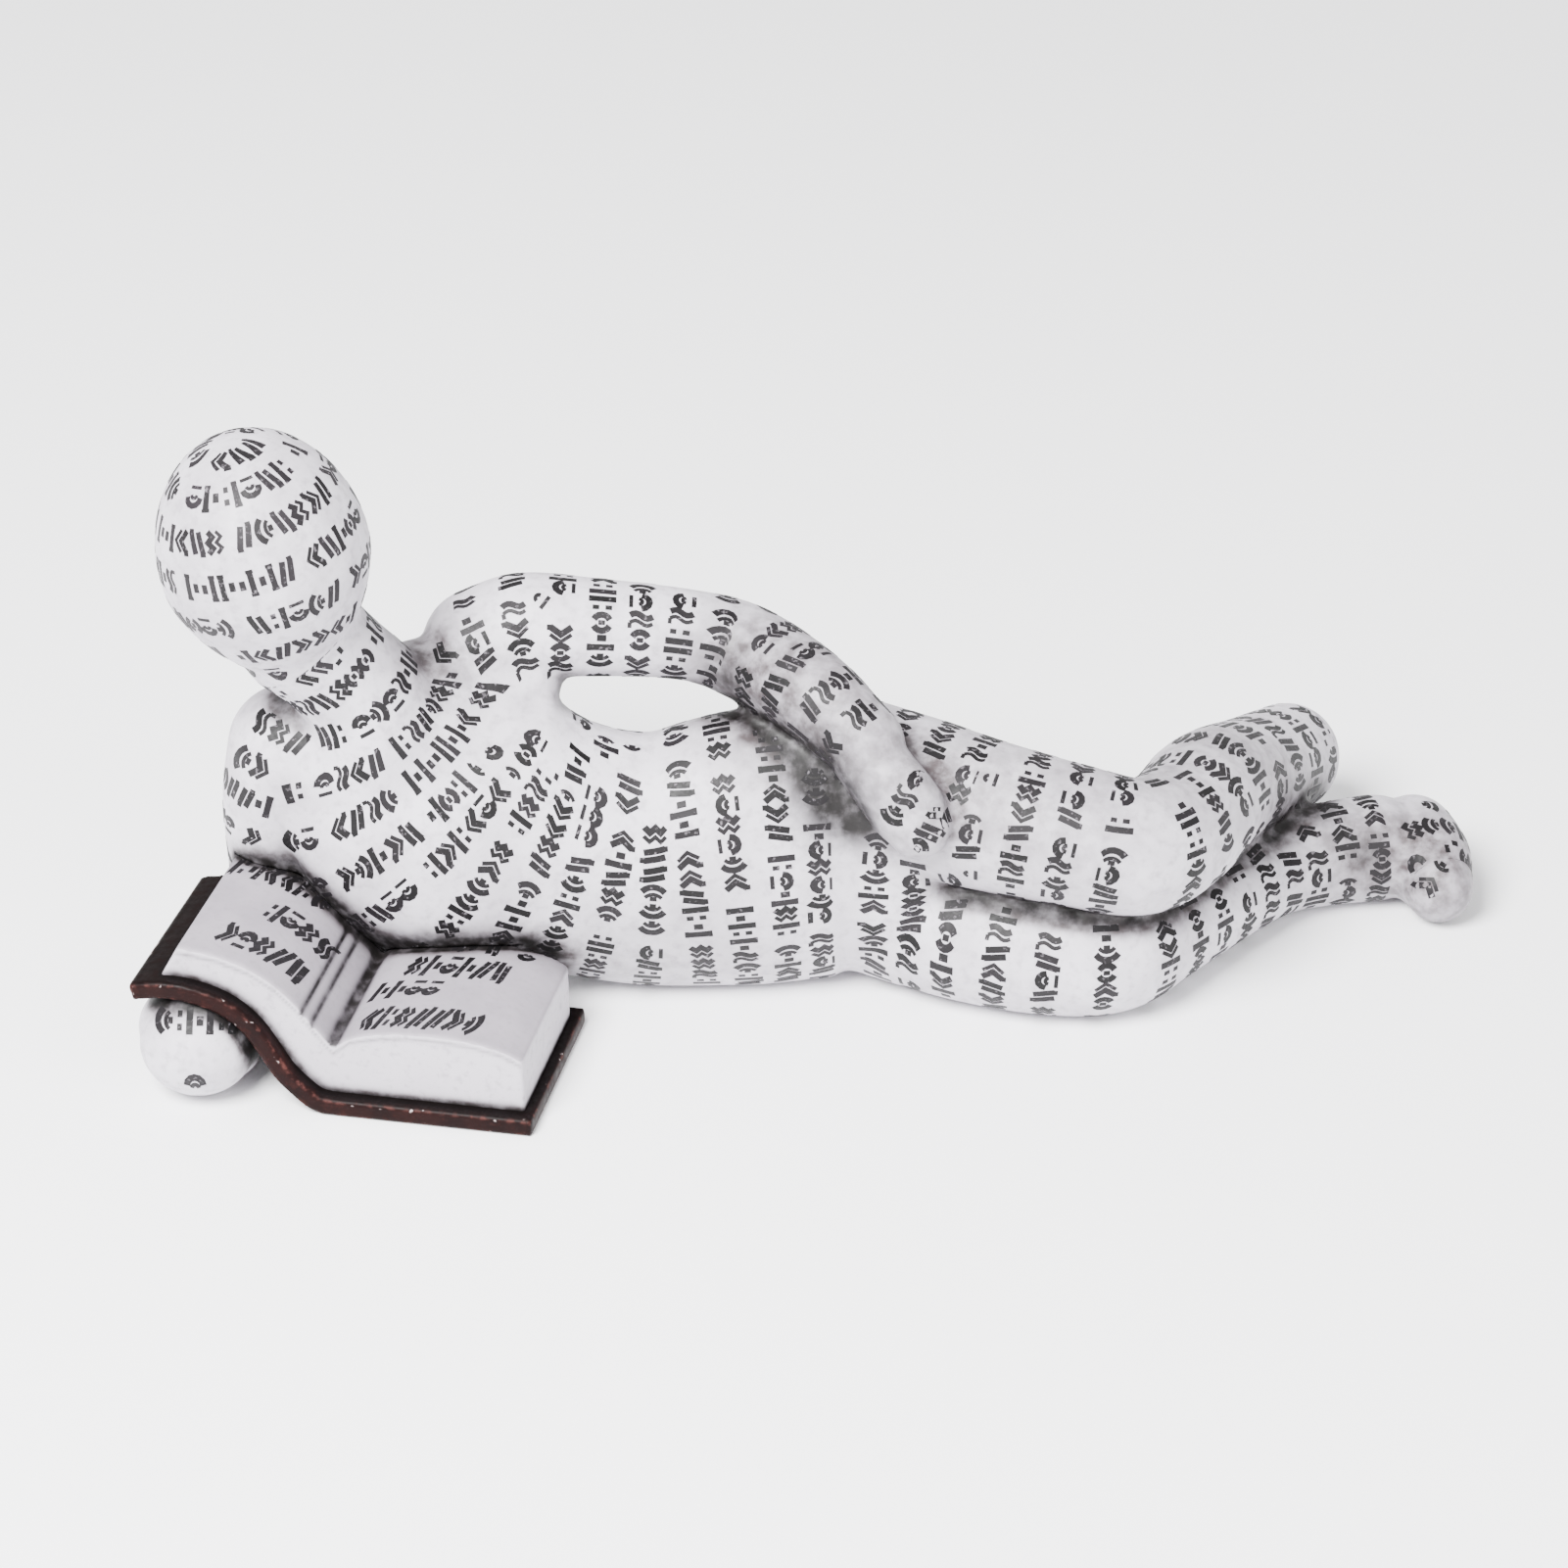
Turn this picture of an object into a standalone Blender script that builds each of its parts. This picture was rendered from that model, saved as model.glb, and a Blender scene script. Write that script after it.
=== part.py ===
"""Reclining woman reading a book: one cast figure with fused limbs, and the open book that it leans over.

Metres, +Z up, the figure's front towards -Y, her head towards -X. The origin is on the shelf, below the middle
of the hip that she lies on.
"""

import math

import bmesh
import bpy
from mathutils import Matrix, Vector

MM = 0.001

# The whole ornament, in mm. Every centre and half width below is drawn for DRAWN and follows these three.
LENGTH = 201.5
DEPTH = 95.0
HEIGHT = 95.0
DRAWN = (201.5, 95.0, 95.0)

# Each row of a limb is a centre, the half width along the limb's side vector and the half width across it.
SIDE_UP = (0.0, 0.0, 1.0)

HEAD_CENTRE = Vector((-82.3, -11.0, 75.8))
HEAD_AXIS = Vector((-0.25, -0.02, 0.96)).normalized()
HEAD_HALF_HEIGHT = 19.4
HEAD_HALF_WIDTH = 15.5
HEAD_HALF_DEPTH = 16.2
HEAD_CHIN_TAPER = 0.27

NECK = [
    (-77.8, -10.5, 62.5, 9.4, 8.8),
    (-73.6, -9.0, 57.4, 8.8, 8.8),
    (-70.2, -7.8, 52.4, 9.5, 9.6),
    (-68.0, -7.0, 46.5, 11.6, 10.8),
    (-67.0, -6.6, 40.0, 13.0, 12.0),
]

COLLAR = [
    (-79.0, -5.8, 41.2, 9.3, 9.2),
    (-74.0, -6.4, 39.5, 11.6, 10.4),
    (-67.5, -6.8, 39.0, 13.5, 11.8),
    (-60.0, -4.5, 39.5, 12.5, 11.5),
]

RIBS = [
    (-71.0, -8.4, 11.8, 5.2, 5.2),
    (-64.0, -8.2, 12.0, 5.4, 5.4),
    (-57.0, -6.8, 13.5, 7.0, 7.0),
]

TRUNK = [
    (-69.0, -5.5, 50.0, 9.0, 7.5, (0.83, 0.30, 0.45)),
    (-65.0, -3.6, 44.0, 17.6, 11.0, (0.83, 0.30, 0.45)),
    (-61.2, -4.8, 35.0, 22.9, 14.2, (0.80, 0.28, 0.52)),
    (-52.8, -5.2, 27.5, 23.6, 15.2, (0.68, 0.22, 0.70)),
    (-40.0, -4.2, 22.8, 20.0, 14.4, (0.35, 0.10, 0.93)),
    (-27.0, -3.4, 20.3, 20.6, 14.2, (0.05, 0.00, 1.0)),
    (-13.5, -2.6, 21.6, 22.5, 14.8, (0.0, 0.0, 1.0)),
    (0.0, -0.2, 22.4, 23.0, 15.4, (0.0, 0.0, 1.0)),
    (8.0, -1.5, 21.8, 21.0, 14.6, (0.0, 0.0, 1.0)),
]

UPPER_LEG = [
    (3.0, 0.0, 33.0, 11.7, 11.7),
    (13.0, -5.6, 32.6, 11.7, 11.7),
    (22.0, -10.0, 32.0, 11.3, 11.3),
    (35.0, -13.4, 30.4, 10.6, 10.6),
    (45.0, -14.0, 28.6, 10.2, 10.2),
    (51.5, -6.0, 27.2, 9.8, 9.8),
    (57.0, 8.0, 25.0, 9.7, 9.7),
    (64.0, 22.5, 19.9, 9.0, 9.0),
    (71.4, 38.0, 14.2, 8.6, 8.4),
]

LOWER_LEG = [
    (2.0, 3.5, 12.0, 12.2, 12.2),
    (12.0, -3.0, 11.5, 11.8, 11.8),
    (22.0, -9.0, 11.0, 11.0, 11.0),
    (33.0, -12.2, 10.2, 10.3, 10.3),
    (42.0, -11.5, 9.7, 9.8, 9.8),
    (50.0, -4.4, 9.4, 8.6, 8.6),
    (60.0, 6.4, 8.8, 7.8, 7.8),
    (68.0, 14.0, 8.2, 7.3, 7.3),
    (76.0, 18.4, 8.1, 8.1, 7.6),
    (84.0, 20.5, 8.1, 8.3, 8.2),
]

NEAR_FOOT = [
    (90.2, 23.4, 7.8, 7.2, 7.0),
    (92.0, 17.0, 7.3, 7.2, 6.9),
    (93.3, 12.0, 6.2, 5.8, 5.4),
]

LEFT_ARM = [
    (-52.4, 4.5, 52.4, 8.8, 8.8),
    (-46.0, 4.8, 55.4, 8.2, 8.2),
    (-36.8, 4.8, 55.5, 7.4, 7.4),
    (-22.0, 5.0, 54.1, 6.8, 6.8),
    (-13.0, 4.2, 51.5, 7.2, 7.2),
    (-3.2, -5.6, 49.9, 6.7, 6.7),
    (4.6, -12.6, 45.3, 6.0, 6.0),
]

ARMPIT = [
    (-58.0, -1.0, 45.0, 8.0, 8.0),
    (-51.0, 0.0, 46.6, 7.4, 7.4),
    (-46.5, 1.4, 48.2, 6.2, 6.2),
]

LEFT_HAND = [
    (5.0, -14.0, 43.8, 5.2, 5.4),
    (10.4, -18.4, 38.2, 6.2, 5.0),
    (12.6, -19.6, 35.0, 5.0, 4.4),
]

RIGHT_ARM = [
    (-80.4, -5.4, 41.0, 9.4, 9.4),
    (-82.4, -5.2, 32.0, 8.6, 8.6),
    (-83.2, -5.0, 20.0, 7.4, 7.4),
    (-83.6, -5.5, 10.0, 7.0, 7.0),
    (-84.0, -9.0, 7.4, 6.8, 6.8),
    (-86.5, -18.0, 7.4, 6.6, 6.6),
    (-90.0, -27.0, 7.4, 6.2, 6.2),
]

RIGHT_HAND = [
    (-90.5, -27.0, 8.2, 7.4, 7.2),
    (-92.7, -33.8, 8.8, 8.8, 9.5),
    (-93.2, -36.0, 8.4, 7.9, 8.6),
]

RING_SIDES = 28
RINGS_PER_ROW = 5
CAP_RINGS = 6

VOXEL = 0.9
SMOOTHING = 6
KEPT_TRIANGLES = 0.075

# The book's own frame starts at the near end of its spine, on the shelf.
BOOK_ORIGIN = Vector((-75.0, -42.8, 0.0))
BOOK_TURN = math.radians(-10.9)
BOOK_LEAN = 0.03
BOOK_LEFT_LEAN = 0.0013
BOARD_LENGTH = 32.0
BOARD = 2.8
PAGE_MARGIN = 2.5
JOIN_GAP = 0.3

# Sections across the spine: how far to the right of it, and the height above the shelf.
COVER_UNDERSIDE = [
    (31.6, 0.0),
    (-1.0, 0.0),
    (-4.0, 2.4),
    (-6.8, 5.2),
    (-9.0, 9.0),
    (-11.2, 12.6),
    (-14.8, 15.6),
    (-19.8, 17.1),
    (-24.0, 17.2),
    (-27.8, 16.4),
]
PAGE_TOP = [
    (29.8, 11.4),
    (27.0, 12.9),
    (22.0, 14.0),
    (15.5, 14.4),
    (9.0, 13.9),
    (4.0, 12.6),
    (1.4, 10.4),
    (-1.2, 13.6),
    (-4.0, 17.2),
    (-7.0, 20.2),
    (-10.6, 22.5),
    (-15.4, 24.2),
    (-21.4, 25.0),
]
PAGE_FOOT_LEFT = -24.8
PAGE_FOOT_RIGHT = 29.9


def placed(point):
    """A drawn point in mm as a point of the part in metres."""
    scaled = [p * whole / drawn for p, whole, drawn in zip(point, (LENGTH, DEPTH, HEIGHT), DRAWN)]
    return Vector(scaled) * MM


def blend(a, b, c, d, t):
    """Catmull-Rom value between b and c."""
    return 0.5 * (
        2.0 * b
        + (c - a) * t
        + (2.0 * a - 5.0 * b + 4.0 * c - d) * t * t
        + (3.0 * b - a - 3.0 * c + d) * t * t * t
    )


def sample_rows(rows, steps):
    """Smooth rows between the given ones, each a centre, two half widths and a side vector."""
    whole = []
    for row in rows:
        side = row[5] if len(row) > 5 else SIDE_UP
        whole.append((*row[:5], *side))
    first = [2.0 * a - b for a, b in zip(whole[0], whole[1])]
    last = [2.0 * a - b for a, b in zip(whole[-1], whole[-2])]
    padded = [first, *whole, last]
    out = []
    for i in range(len(whole) - 1):
        count = steps if i < len(whole) - 2 else steps + 1
        for k in range(count):
            t = k / steps
            quad = zip(padded[i], padded[i + 1], padded[i + 2], padded[i + 3])
            out.append([blend(*q, t) for q in quad])
    return out


def frames(samples):
    """A centre, tangent, side and cross axis and two half widths for each sample."""
    out = []
    count = len(samples)
    for i, s in enumerate(samples):
        before = Vector(samples[max(i - 1, 0)][:3])
        after = Vector(samples[min(i + 1, count - 1)][:3])
        tangent = (after - before).normalized()
        side = Vector(s[5:8])
        side = (side - tangent * side.dot(tangent)).normalized()
        out.append((Vector(s[:3]), tangent, side, tangent.cross(side), s[3], s[4]))
    return out


def limb(bm, rows, steps=RINGS_PER_ROW):
    """Adds a closed tube with rounded ends along the rows."""
    body = frames(sample_rows(rows, steps))
    rings = []
    centre, tangent, side, cross, a, b = body[0]
    for k in range(CAP_RINGS, 0, -1):
        angle = math.pi / 2.0 * k / (CAP_RINGS + 1)
        shift = -min(a, b) * math.sin(angle)
        rings.append((centre + tangent * shift, side, cross, a * math.cos(angle), b * math.cos(angle)))
    rings += [(c, s, x, ra, rb) for c, _, s, x, ra, rb in body]
    centre, tangent, side, cross, a, b = body[-1]
    for k in range(1, CAP_RINGS + 1):
        angle = math.pi / 2.0 * k / (CAP_RINGS + 1)
        shift = min(a, b) * math.sin(angle)
        rings.append((centre + tangent * shift, side, cross, a * math.cos(angle), b * math.cos(angle)))
    loops = []
    for centre, side, cross, a, b in rings:
        loop = []
        for k in range(RING_SIDES):
            angle = 2.0 * math.pi * k / RING_SIDES
            point = centre + side * (a * math.cos(angle)) + cross * (b * math.sin(angle))
            loop.append(bm.verts.new(placed(point)))
        loops.append(loop)
    for low, high in zip(loops, loops[1:]):
        for k in range(RING_SIDES):
            n = (k + 1) % RING_SIDES
            bm.faces.new((low[k], low[n], high[n], high[k]))
    bm.faces.new(loops[0][::-1])
    bm.faces.new(loops[-1])


def head(bm):
    """Adds the egg-shaped head, narrower towards the chin."""
    side = Vector((1.0, 0.0, 0.0))
    side = (side - HEAD_AXIS * side.dot(HEAD_AXIS)).normalized()
    turn = Matrix((side, HEAD_AXIS.cross(side), HEAD_AXIS)).transposed()
    made = bmesh.ops.create_uvsphere(bm, u_segments=36, v_segments=24, radius=1.0)
    for vert in made["verts"]:
        p = vert.co.copy()
        taper = 1.0 - HEAD_CHIN_TAPER * max(0.0, -p.z) ** 1.5
        local = Vector((p.x * HEAD_HALF_WIDTH * taper, p.y * HEAD_HALF_DEPTH * taper, p.z * HEAD_HALF_HEIGHT))
        vert.co = placed(HEAD_CENTRE + turn @ local)


def material(name, colour, roughness):
    made = bpy.data.materials.new(name)
    made.use_nodes = True
    shader = made.node_tree.nodes["Principled BSDF"]
    shader.inputs["Base Color"].default_value = (*colour, 1.0)
    shader.inputs["Roughness"].default_value = roughness
    return made


def add_object(name, bm, collection, surface=None):
    bmesh.ops.recalc_face_normals(bm, faces=bm.faces)
    mesh = bpy.data.meshes.new(name)
    bm.to_mesh(mesh)
    bm.free()
    made = bpy.data.objects.new(name, mesh)
    if surface is not None:
        mesh.materials.append(surface)
    collection.objects.link(made)
    return made


def add_cutter(target, cutter):
    cut = target.modifiers.new("cut_" + cutter.name, "BOOLEAN")
    cut.operation = "DIFFERENCE"
    cut.solver = "EXACT"
    cut.object = cutter


def hide_cutter(cutter):
    cutter.hide_render = True
    cutter.display_type = "WIRE"


def box_cutter(name, low, high, collection):
    bm = bmesh.new()
    bmesh.ops.create_cube(bm, size=1.0)
    middle = (Vector(low) + Vector(high)) / 2.0
    size = Vector(high) - Vector(low)
    for vert in bm.verts:
        vert.co = Vector([m + s * c for m, s, c in zip(middle, size, vert.co)]) * MM
    made = add_object(name, bm, collection)
    hide_cutter(made)
    return made


def offset_line(points, distance):
    """The open line moved to its left by a distance, with mitred corners."""
    flat = [Vector(p) for p in points]
    out = []
    for i, p in enumerate(flat):
        steps = []
        if i > 0:
            steps.append((p - flat[i - 1]).normalized())
        if i < len(flat) - 1:
            steps.append((flat[i + 1] - p).normalized())
        normals = [Vector((-s.y, s.x)) for s in steps]
        mean = sum(normals, Vector((0.0, 0.0))).normalized()
        out.append(p + mean * (distance / mean.dot(normals[0])))
    return out


def grown(outline, distance):
    """A closed outline, anticlockwise, pushed outwards by a distance."""
    closed = [outline[-1], *outline, outline[0]]
    return offset_line(closed, -distance)[1:-1]


def cover_outline():
    """The bent board, anticlockwise from the right end of its underside."""
    under = [Vector(p) for p in COVER_UNDERSIDE]
    return under[::-1] + offset_line(COVER_UNDERSIDE, -BOARD)


def page_outline():
    """The two leaves of pages, from their foot inside the board round over the top."""
    inside = offset_line(COVER_UNDERSIDE, -BOARD / 2.0)
    foot = [p for p in inside if PAGE_FOOT_LEFT < p.x < PAGE_FOOT_RIGHT]
    left = Vector((PAGE_FOOT_LEFT, COVER_UNDERSIDE[-2][1] + BOARD / 2.0))
    right = Vector((PAGE_FOOT_RIGHT, BOARD / 2.0))
    return [left, *foot[::-1], right] + [Vector(p) for p in PAGE_TOP]


def prism(bm, outline, start, end):
    """Adds the outline, given across the spine, drawn out along it."""
    turn = Matrix.Rotation(BOOK_TURN, 4, "Z")
    rings = []
    for along in (start, end):
        ring = []
        for p in outline:
            lean = BOOK_LEAN + BOOK_LEFT_LEAN * max(0.0, -p.x)
            ring.append(bm.verts.new(placed(BOOK_ORIGIN + turn @ Vector((p.x + lean * along, along, p.y)))))
        rings.append(ring)
    count = len(outline)
    for k in range(count):
        n = (k + 1) % count
        bm.faces.new((rings[0][k], rings[0][n], rings[1][n], rings[1][k]))
    bm.faces.new(rings[0][::-1])
    bm.faces.new(rings[1])


def book_piece(name, outline, start, end, collection, surface=None):
    bm = bmesh.new()
    prism(bm, outline, start, end)
    return add_object(name, bm, collection, surface)


def figure_body(bm):
    head(bm)
    legs = (UPPER_LEG, LOWER_LEG, NEAR_FOOT)
    arms = (LEFT_ARM, ARMPIT, LEFT_HAND, RIGHT_ARM, RIGHT_HAND)
    for rows in (NECK, COLLAR, TRUNK, RIBS, *legs, *arms):
        limb(bm, rows)


def main():
    for old in list(bpy.data.objects):
        bpy.data.objects.remove(old, do_unlink=True)
    scene = bpy.context.scene
    parts = bpy.data.collections.new("reading_woman_figurine")
    cutters = bpy.data.collections.new("cutters")
    scene.collection.children.link(parts)
    scene.collection.children.link(cutters)

    bm = bmesh.new()
    figure_body(bm)
    figure = add_object("figure", bm, parts, material("cast_resin_white", (0.62, 0.60, 0.64), 0.55))
    remesh = figure.modifiers.new("fuse", "REMESH")
    remesh.mode = "VOXEL"
    remesh.voxel_size = VOXEL * MM
    smooth = figure.modifiers.new("smooth", "SMOOTH")
    smooth.factor = 0.5
    smooth.iterations = SMOOTHING
    thin = figure.modifiers.new("thin", "DECIMATE")
    thin.ratio = KEPT_TRIANGLES
    shelf = box_cutter("shelf", (-LENGTH, -DEPTH, -HEIGHT), (LENGTH, DEPTH, 0.0), cutters)
    add_cutter(figure, shelf)

    page_end = BOARD_LENGTH - PAGE_MARGIN
    leather = material("painted_resin_brown", (0.045, 0.018, 0.018), 0.5)
    book = book_piece("book", cover_outline(), 0.0, BOARD_LENGTH, parts, leather)
    pages = book_piece("pages", page_outline(), PAGE_MARGIN, page_end, cutters)
    hide_cutter(pages)
    join = book.modifiers.new("add_pages", "BOOLEAN")
    join.operation = "UNION"
    join.solver = "EXACT"
    join.object = pages

    for name, outline, start, end in (
        ("cover_room", cover_outline(), 0.0, BOARD_LENGTH),
        ("page_room", page_outline(), PAGE_MARGIN, page_end),
    ):
        room = book_piece(name, grown(outline, JOIN_GAP), start - JOIN_GAP, end + JOIN_GAP, cutters)
        hide_cutter(room)
        add_cutter(figure, room)


main()
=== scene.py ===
"""The looks of the reading figurine: washed off-white paint, rows of printed strokes and an open book."""

import math
import random

import bmesh
import bpy
import numpy as np
from mathutils import Matrix, Vector
from mathutils.bvhtree import BVHTree
from mathutils.kdtree import KDTree


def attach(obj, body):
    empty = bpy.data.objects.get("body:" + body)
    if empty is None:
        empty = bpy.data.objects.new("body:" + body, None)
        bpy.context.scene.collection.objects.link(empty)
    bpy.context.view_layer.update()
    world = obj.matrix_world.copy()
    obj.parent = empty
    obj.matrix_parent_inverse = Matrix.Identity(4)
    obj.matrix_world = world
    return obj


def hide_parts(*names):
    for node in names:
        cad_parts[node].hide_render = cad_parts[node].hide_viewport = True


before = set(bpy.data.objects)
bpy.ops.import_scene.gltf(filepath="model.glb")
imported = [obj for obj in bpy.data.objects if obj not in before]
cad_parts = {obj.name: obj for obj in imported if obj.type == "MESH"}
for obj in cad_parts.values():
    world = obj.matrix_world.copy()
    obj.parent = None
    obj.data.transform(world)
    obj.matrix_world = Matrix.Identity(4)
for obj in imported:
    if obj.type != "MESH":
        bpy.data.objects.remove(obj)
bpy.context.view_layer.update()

MM = 0.001
CHANCE = random.Random(41)

# The cast figure. Each row of a limb is a centre, the half width along the limb's side vector and the half
# width across it, all in mm. Where the side isn't straight up, the row ends with it.
SIDE_UP = (0.0, 0.0, 1.0)
LIMB_STEPS = 7
CAP_RINGS = 8
RING_POINTS = 48
SKIN_VOXEL = 0.70 * MM
SKIN_ROUNDS = 8

HEAD_CENTRE = Vector((-82.3, -11.0, 75.8)) * MM
HEAD_AXIS = Vector((-0.25, -0.02, 0.96)).normalized()
HEAD_HALF_HEIGHT = 19.4 * MM
HEAD_HALF_WIDTH = 15.5 * MM
HEAD_HALF_DEPTH = 16.2 * MM
HEAD_CHIN_TAPER = 0.27

NECK = [
    (-77.8, -10.5, 62.5, 9.4, 8.8),
    (-73.6, -9.0, 57.4, 8.8, 8.8),
    (-70.2, -7.8, 52.4, 9.5, 9.6),
    (-68.0, -7.0, 46.5, 11.6, 10.8),
    (-67.0, -6.6, 40.0, 13.0, 12.0),
]
COLLAR = [
    (-79.0, -5.8, 41.2, 9.3, 9.2),
    (-74.0, -6.4, 39.5, 11.6, 10.4),
    (-67.5, -6.8, 39.0, 13.5, 11.8),
    (-60.0, -4.5, 39.5, 12.5, 11.5),
]
RIBS = [
    (-71.0, -8.4, 11.8, 5.2, 5.2),
    (-64.0, -8.2, 12.0, 5.4, 5.4),
    (-57.0, -6.8, 13.5, 7.0, 7.0),
]
TRUNK = [
    (-69.0, -5.5, 50.0, 9.0, 7.5, (0.83, 0.30, 0.45)),
    (-65.0, -3.6, 44.0, 17.6, 11.0, (0.83, 0.30, 0.45)),
    (-61.2, -4.8, 35.0, 22.9, 14.2, (0.80, 0.28, 0.52)),
    (-52.8, -5.2, 27.5, 23.6, 15.2, (0.68, 0.22, 0.70)),
    (-40.0, -4.2, 22.8, 20.0, 14.4, (0.35, 0.10, 0.93)),
    (-27.0, -3.4, 20.3, 20.6, 14.2, (0.05, 0.00, 1.0)),
    (-13.5, -2.6, 21.6, 22.5, 14.8, (0.0, 0.0, 1.0)),
    (0.0, -0.2, 22.4, 23.0, 15.4, (0.0, 0.0, 1.0)),
    (8.0, -1.5, 21.8, 21.0, 14.6, (0.0, 0.0, 1.0)),
]
UPPER_LEG = [
    (3.0, 0.0, 33.0, 11.7, 11.7),
    (13.0, -5.6, 32.6, 11.7, 11.7),
    (22.0, -10.0, 32.0, 11.3, 11.3),
    (35.0, -13.4, 30.4, 10.6, 10.6),
    (45.0, -14.0, 28.6, 10.2, 10.2),
    (51.5, -6.0, 27.2, 9.8, 9.8),
    (57.0, 8.0, 25.0, 9.7, 9.7),
    (64.0, 22.5, 19.9, 9.0, 9.0),
    (71.4, 38.0, 14.2, 8.6, 8.4),
]
LOWER_LEG = [
    (2.0, 3.5, 12.0, 12.2, 12.2),
    (12.0, -3.0, 11.5, 11.8, 11.8),
    (22.0, -9.0, 11.0, 11.0, 11.0),
    (33.0, -12.2, 10.2, 10.3, 10.3),
    (42.0, -11.5, 9.7, 9.8, 9.8),
    (50.0, -4.4, 9.4, 8.6, 8.6),
    (60.0, 6.4, 8.8, 7.8, 7.8),
    (68.0, 14.0, 8.2, 7.3, 7.3),
    (76.0, 18.4, 8.1, 8.1, 7.6),
    (84.0, 20.5, 8.1, 8.3, 8.2),
]
NEAR_FOOT = [
    (90.2, 23.4, 7.8, 7.2, 7.0),
    (92.0, 17.0, 7.3, 7.2, 6.9),
    (93.3, 12.0, 6.2, 5.8, 5.4),
]
LEFT_ARM = [
    (-52.4, 4.5, 52.4, 8.8, 8.8),
    (-46.0, 4.8, 55.4, 8.2, 8.2),
    (-36.8, 4.8, 55.5, 7.4, 7.4),
    (-22.0, 5.0, 54.1, 6.8, 6.8),
    (-13.0, 4.2, 51.5, 7.2, 7.2),
    (-3.2, -5.6, 49.9, 6.7, 6.7),
    (4.6, -12.6, 45.3, 6.0, 6.0),
]
ARMPIT = [
    (-58.0, -1.0, 45.0, 8.0, 8.0),
    (-51.0, 0.0, 46.6, 7.4, 7.4),
    (-46.5, 1.4, 48.2, 6.2, 6.2),
]
ARMPIT_FRONT = [
    (-52.0, -5.2, 42.8, 6.0, 6.0),
    (-47.5, -4.6, 43.6, 5.0, 5.0),
    (-44.5, -3.4, 44.0, 3.6, 3.6),
]
LEFT_HAND = [
    (5.0, -14.0, 43.8, 5.2, 5.4),
    (10.4, -18.4, 38.2, 6.2, 5.0),
    (12.6, -19.6, 35.0, 5.0, 4.4),
]
RIGHT_ARM = [
    (-80.4, -5.4, 41.0, 9.4, 9.4),
    (-82.4, -5.2, 32.0, 8.6, 8.6),
    (-83.2, -5.0, 20.0, 7.4, 7.4),
    (-83.6, -5.5, 10.0, 7.0, 7.0),
    (-84.0, -9.0, 7.4, 6.8, 6.8),
    (-86.5, -18.0, 7.4, 6.6, 6.6),
    (-90.0, -27.0, 7.4, 6.2, 6.2),
]
RIGHT_HAND = [
    (-90.5, -27.0, 8.2, 7.4, 7.2),
    (-92.7, -33.8, 8.8, 8.8, 9.5),
    (-93.2, -36.0, 8.4, 7.9, 8.6),
]
LIMBS = (
    NECK, COLLAR, TRUNK, RIBS, UPPER_LEG, LOWER_LEG, NEAR_FOOT,
    LEFT_ARM, ARMPIT, ARMPIT_FRONT, LEFT_HAND, RIGHT_ARM, RIGHT_HAND,
)

# The line that the rows of print follow from the neck down through the trunk to the thighs, and how far the
# skin is from it.
PRINTED_SPINE = [
    (-73.6, -9.0, 57.4, 9.0, 9.0, (0.83, 0.30, 0.45)),
    (-70.2, -7.8, 52.4, 10.5, 9.8, (0.83, 0.30, 0.45)),
    (-67.4, -6.6, 47.0, 15.0, 11.5, (0.83, 0.30, 0.45)),
    (-63.6, -5.6, 41.0, 20.0, 13.5, (0.81, 0.29, 0.50)),
    (-58.4, -5.0, 34.4, 23.0, 14.8, (0.76, 0.26, 0.60)),
    (-51.0, -4.9, 28.0, 23.2, 15.2, (0.64, 0.20, 0.74)),
    (-40.0, -4.2, 22.8, 20.0, 14.4, (0.35, 0.10, 0.93)),
    (-27.0, -3.4, 20.3, 20.6, 14.2, (0.05, 0.00, 1.0)),
    (-13.5, -2.6, 21.6, 22.5, 14.8, (0.0, 0.0, 1.0)),
    (0.0, -1.4, 22.4, 23.0, 15.4, (0.0, 0.0, 1.0)),
    (8.0, -3.0, 22.2, 22.5, 14.6, (0.0, 0.0, 1.0)),
    (16.0, -5.6, 21.8, 21.5, 13.5, (0.0, 0.0, 1.0)),
    (23.0, -8.6, 21.4, 20.8, 12.2, (0.0, 0.0, 1.0)),
]

# The book's own frame starts at the near end of its spine, on the shelf: across it, along it, up. In mm.
BOOK_ORIGIN = Vector((-75.0, -42.8, 0.0))
BOOK_TURN = Matrix.Rotation(math.radians(-10.9), 4, "Z")
BOOK_LEAN = 0.03
BOOK_LEFT_LEAN = 0.0013
BOARD_LENGTH = 32.0
BOARD = 2.8
CORNER_CUT = 1.6
PAGE_MARGIN = 2.5
PAGE_END = BOARD_LENGTH - PAGE_MARGIN
JOIN_GAP = 0.3
COVER_UNDERSIDE = [
    (31.6, 0.0), (-1.0, 0.0), (-4.0, 2.4), (-6.8, 5.2), (-9.0, 9.0),
    (-11.2, 12.6), (-14.8, 15.6), (-19.8, 17.1), (-24.0, 17.2), (-27.8, 16.4),
]
PAGE_TOP_RIGHT = [
    (29.8, 11.4), (27.0, 12.9), (22.0, 14.0), (15.5, 14.4), (9.0, 13.9), (4.0, 12.6), (1.4, 10.4),
]
PAGE_TOP_LEFT = [
    (1.4, 10.4), (-1.2, 13.6), (-4.0, 17.2), (-7.0, 20.2), (-10.6, 22.5), (-15.4, 24.2), (-21.4, 25.0),
]
PAGE_FOOT_LEFT = -24.8
PAGE_FOOT_RIGHT = 29.9
BLOCK_SLICES = 8
SHARP = math.radians(38.0)
ARRIS_STEP = 0.3
ARRIS_WEAR = 0.9
GUTTER = 1.4
LEAF_LINES = (-1.7, -3.1)
LEAF_LINE_WIDTH = 0.32
LEAF_LINE_DEPTH = 0.16

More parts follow.
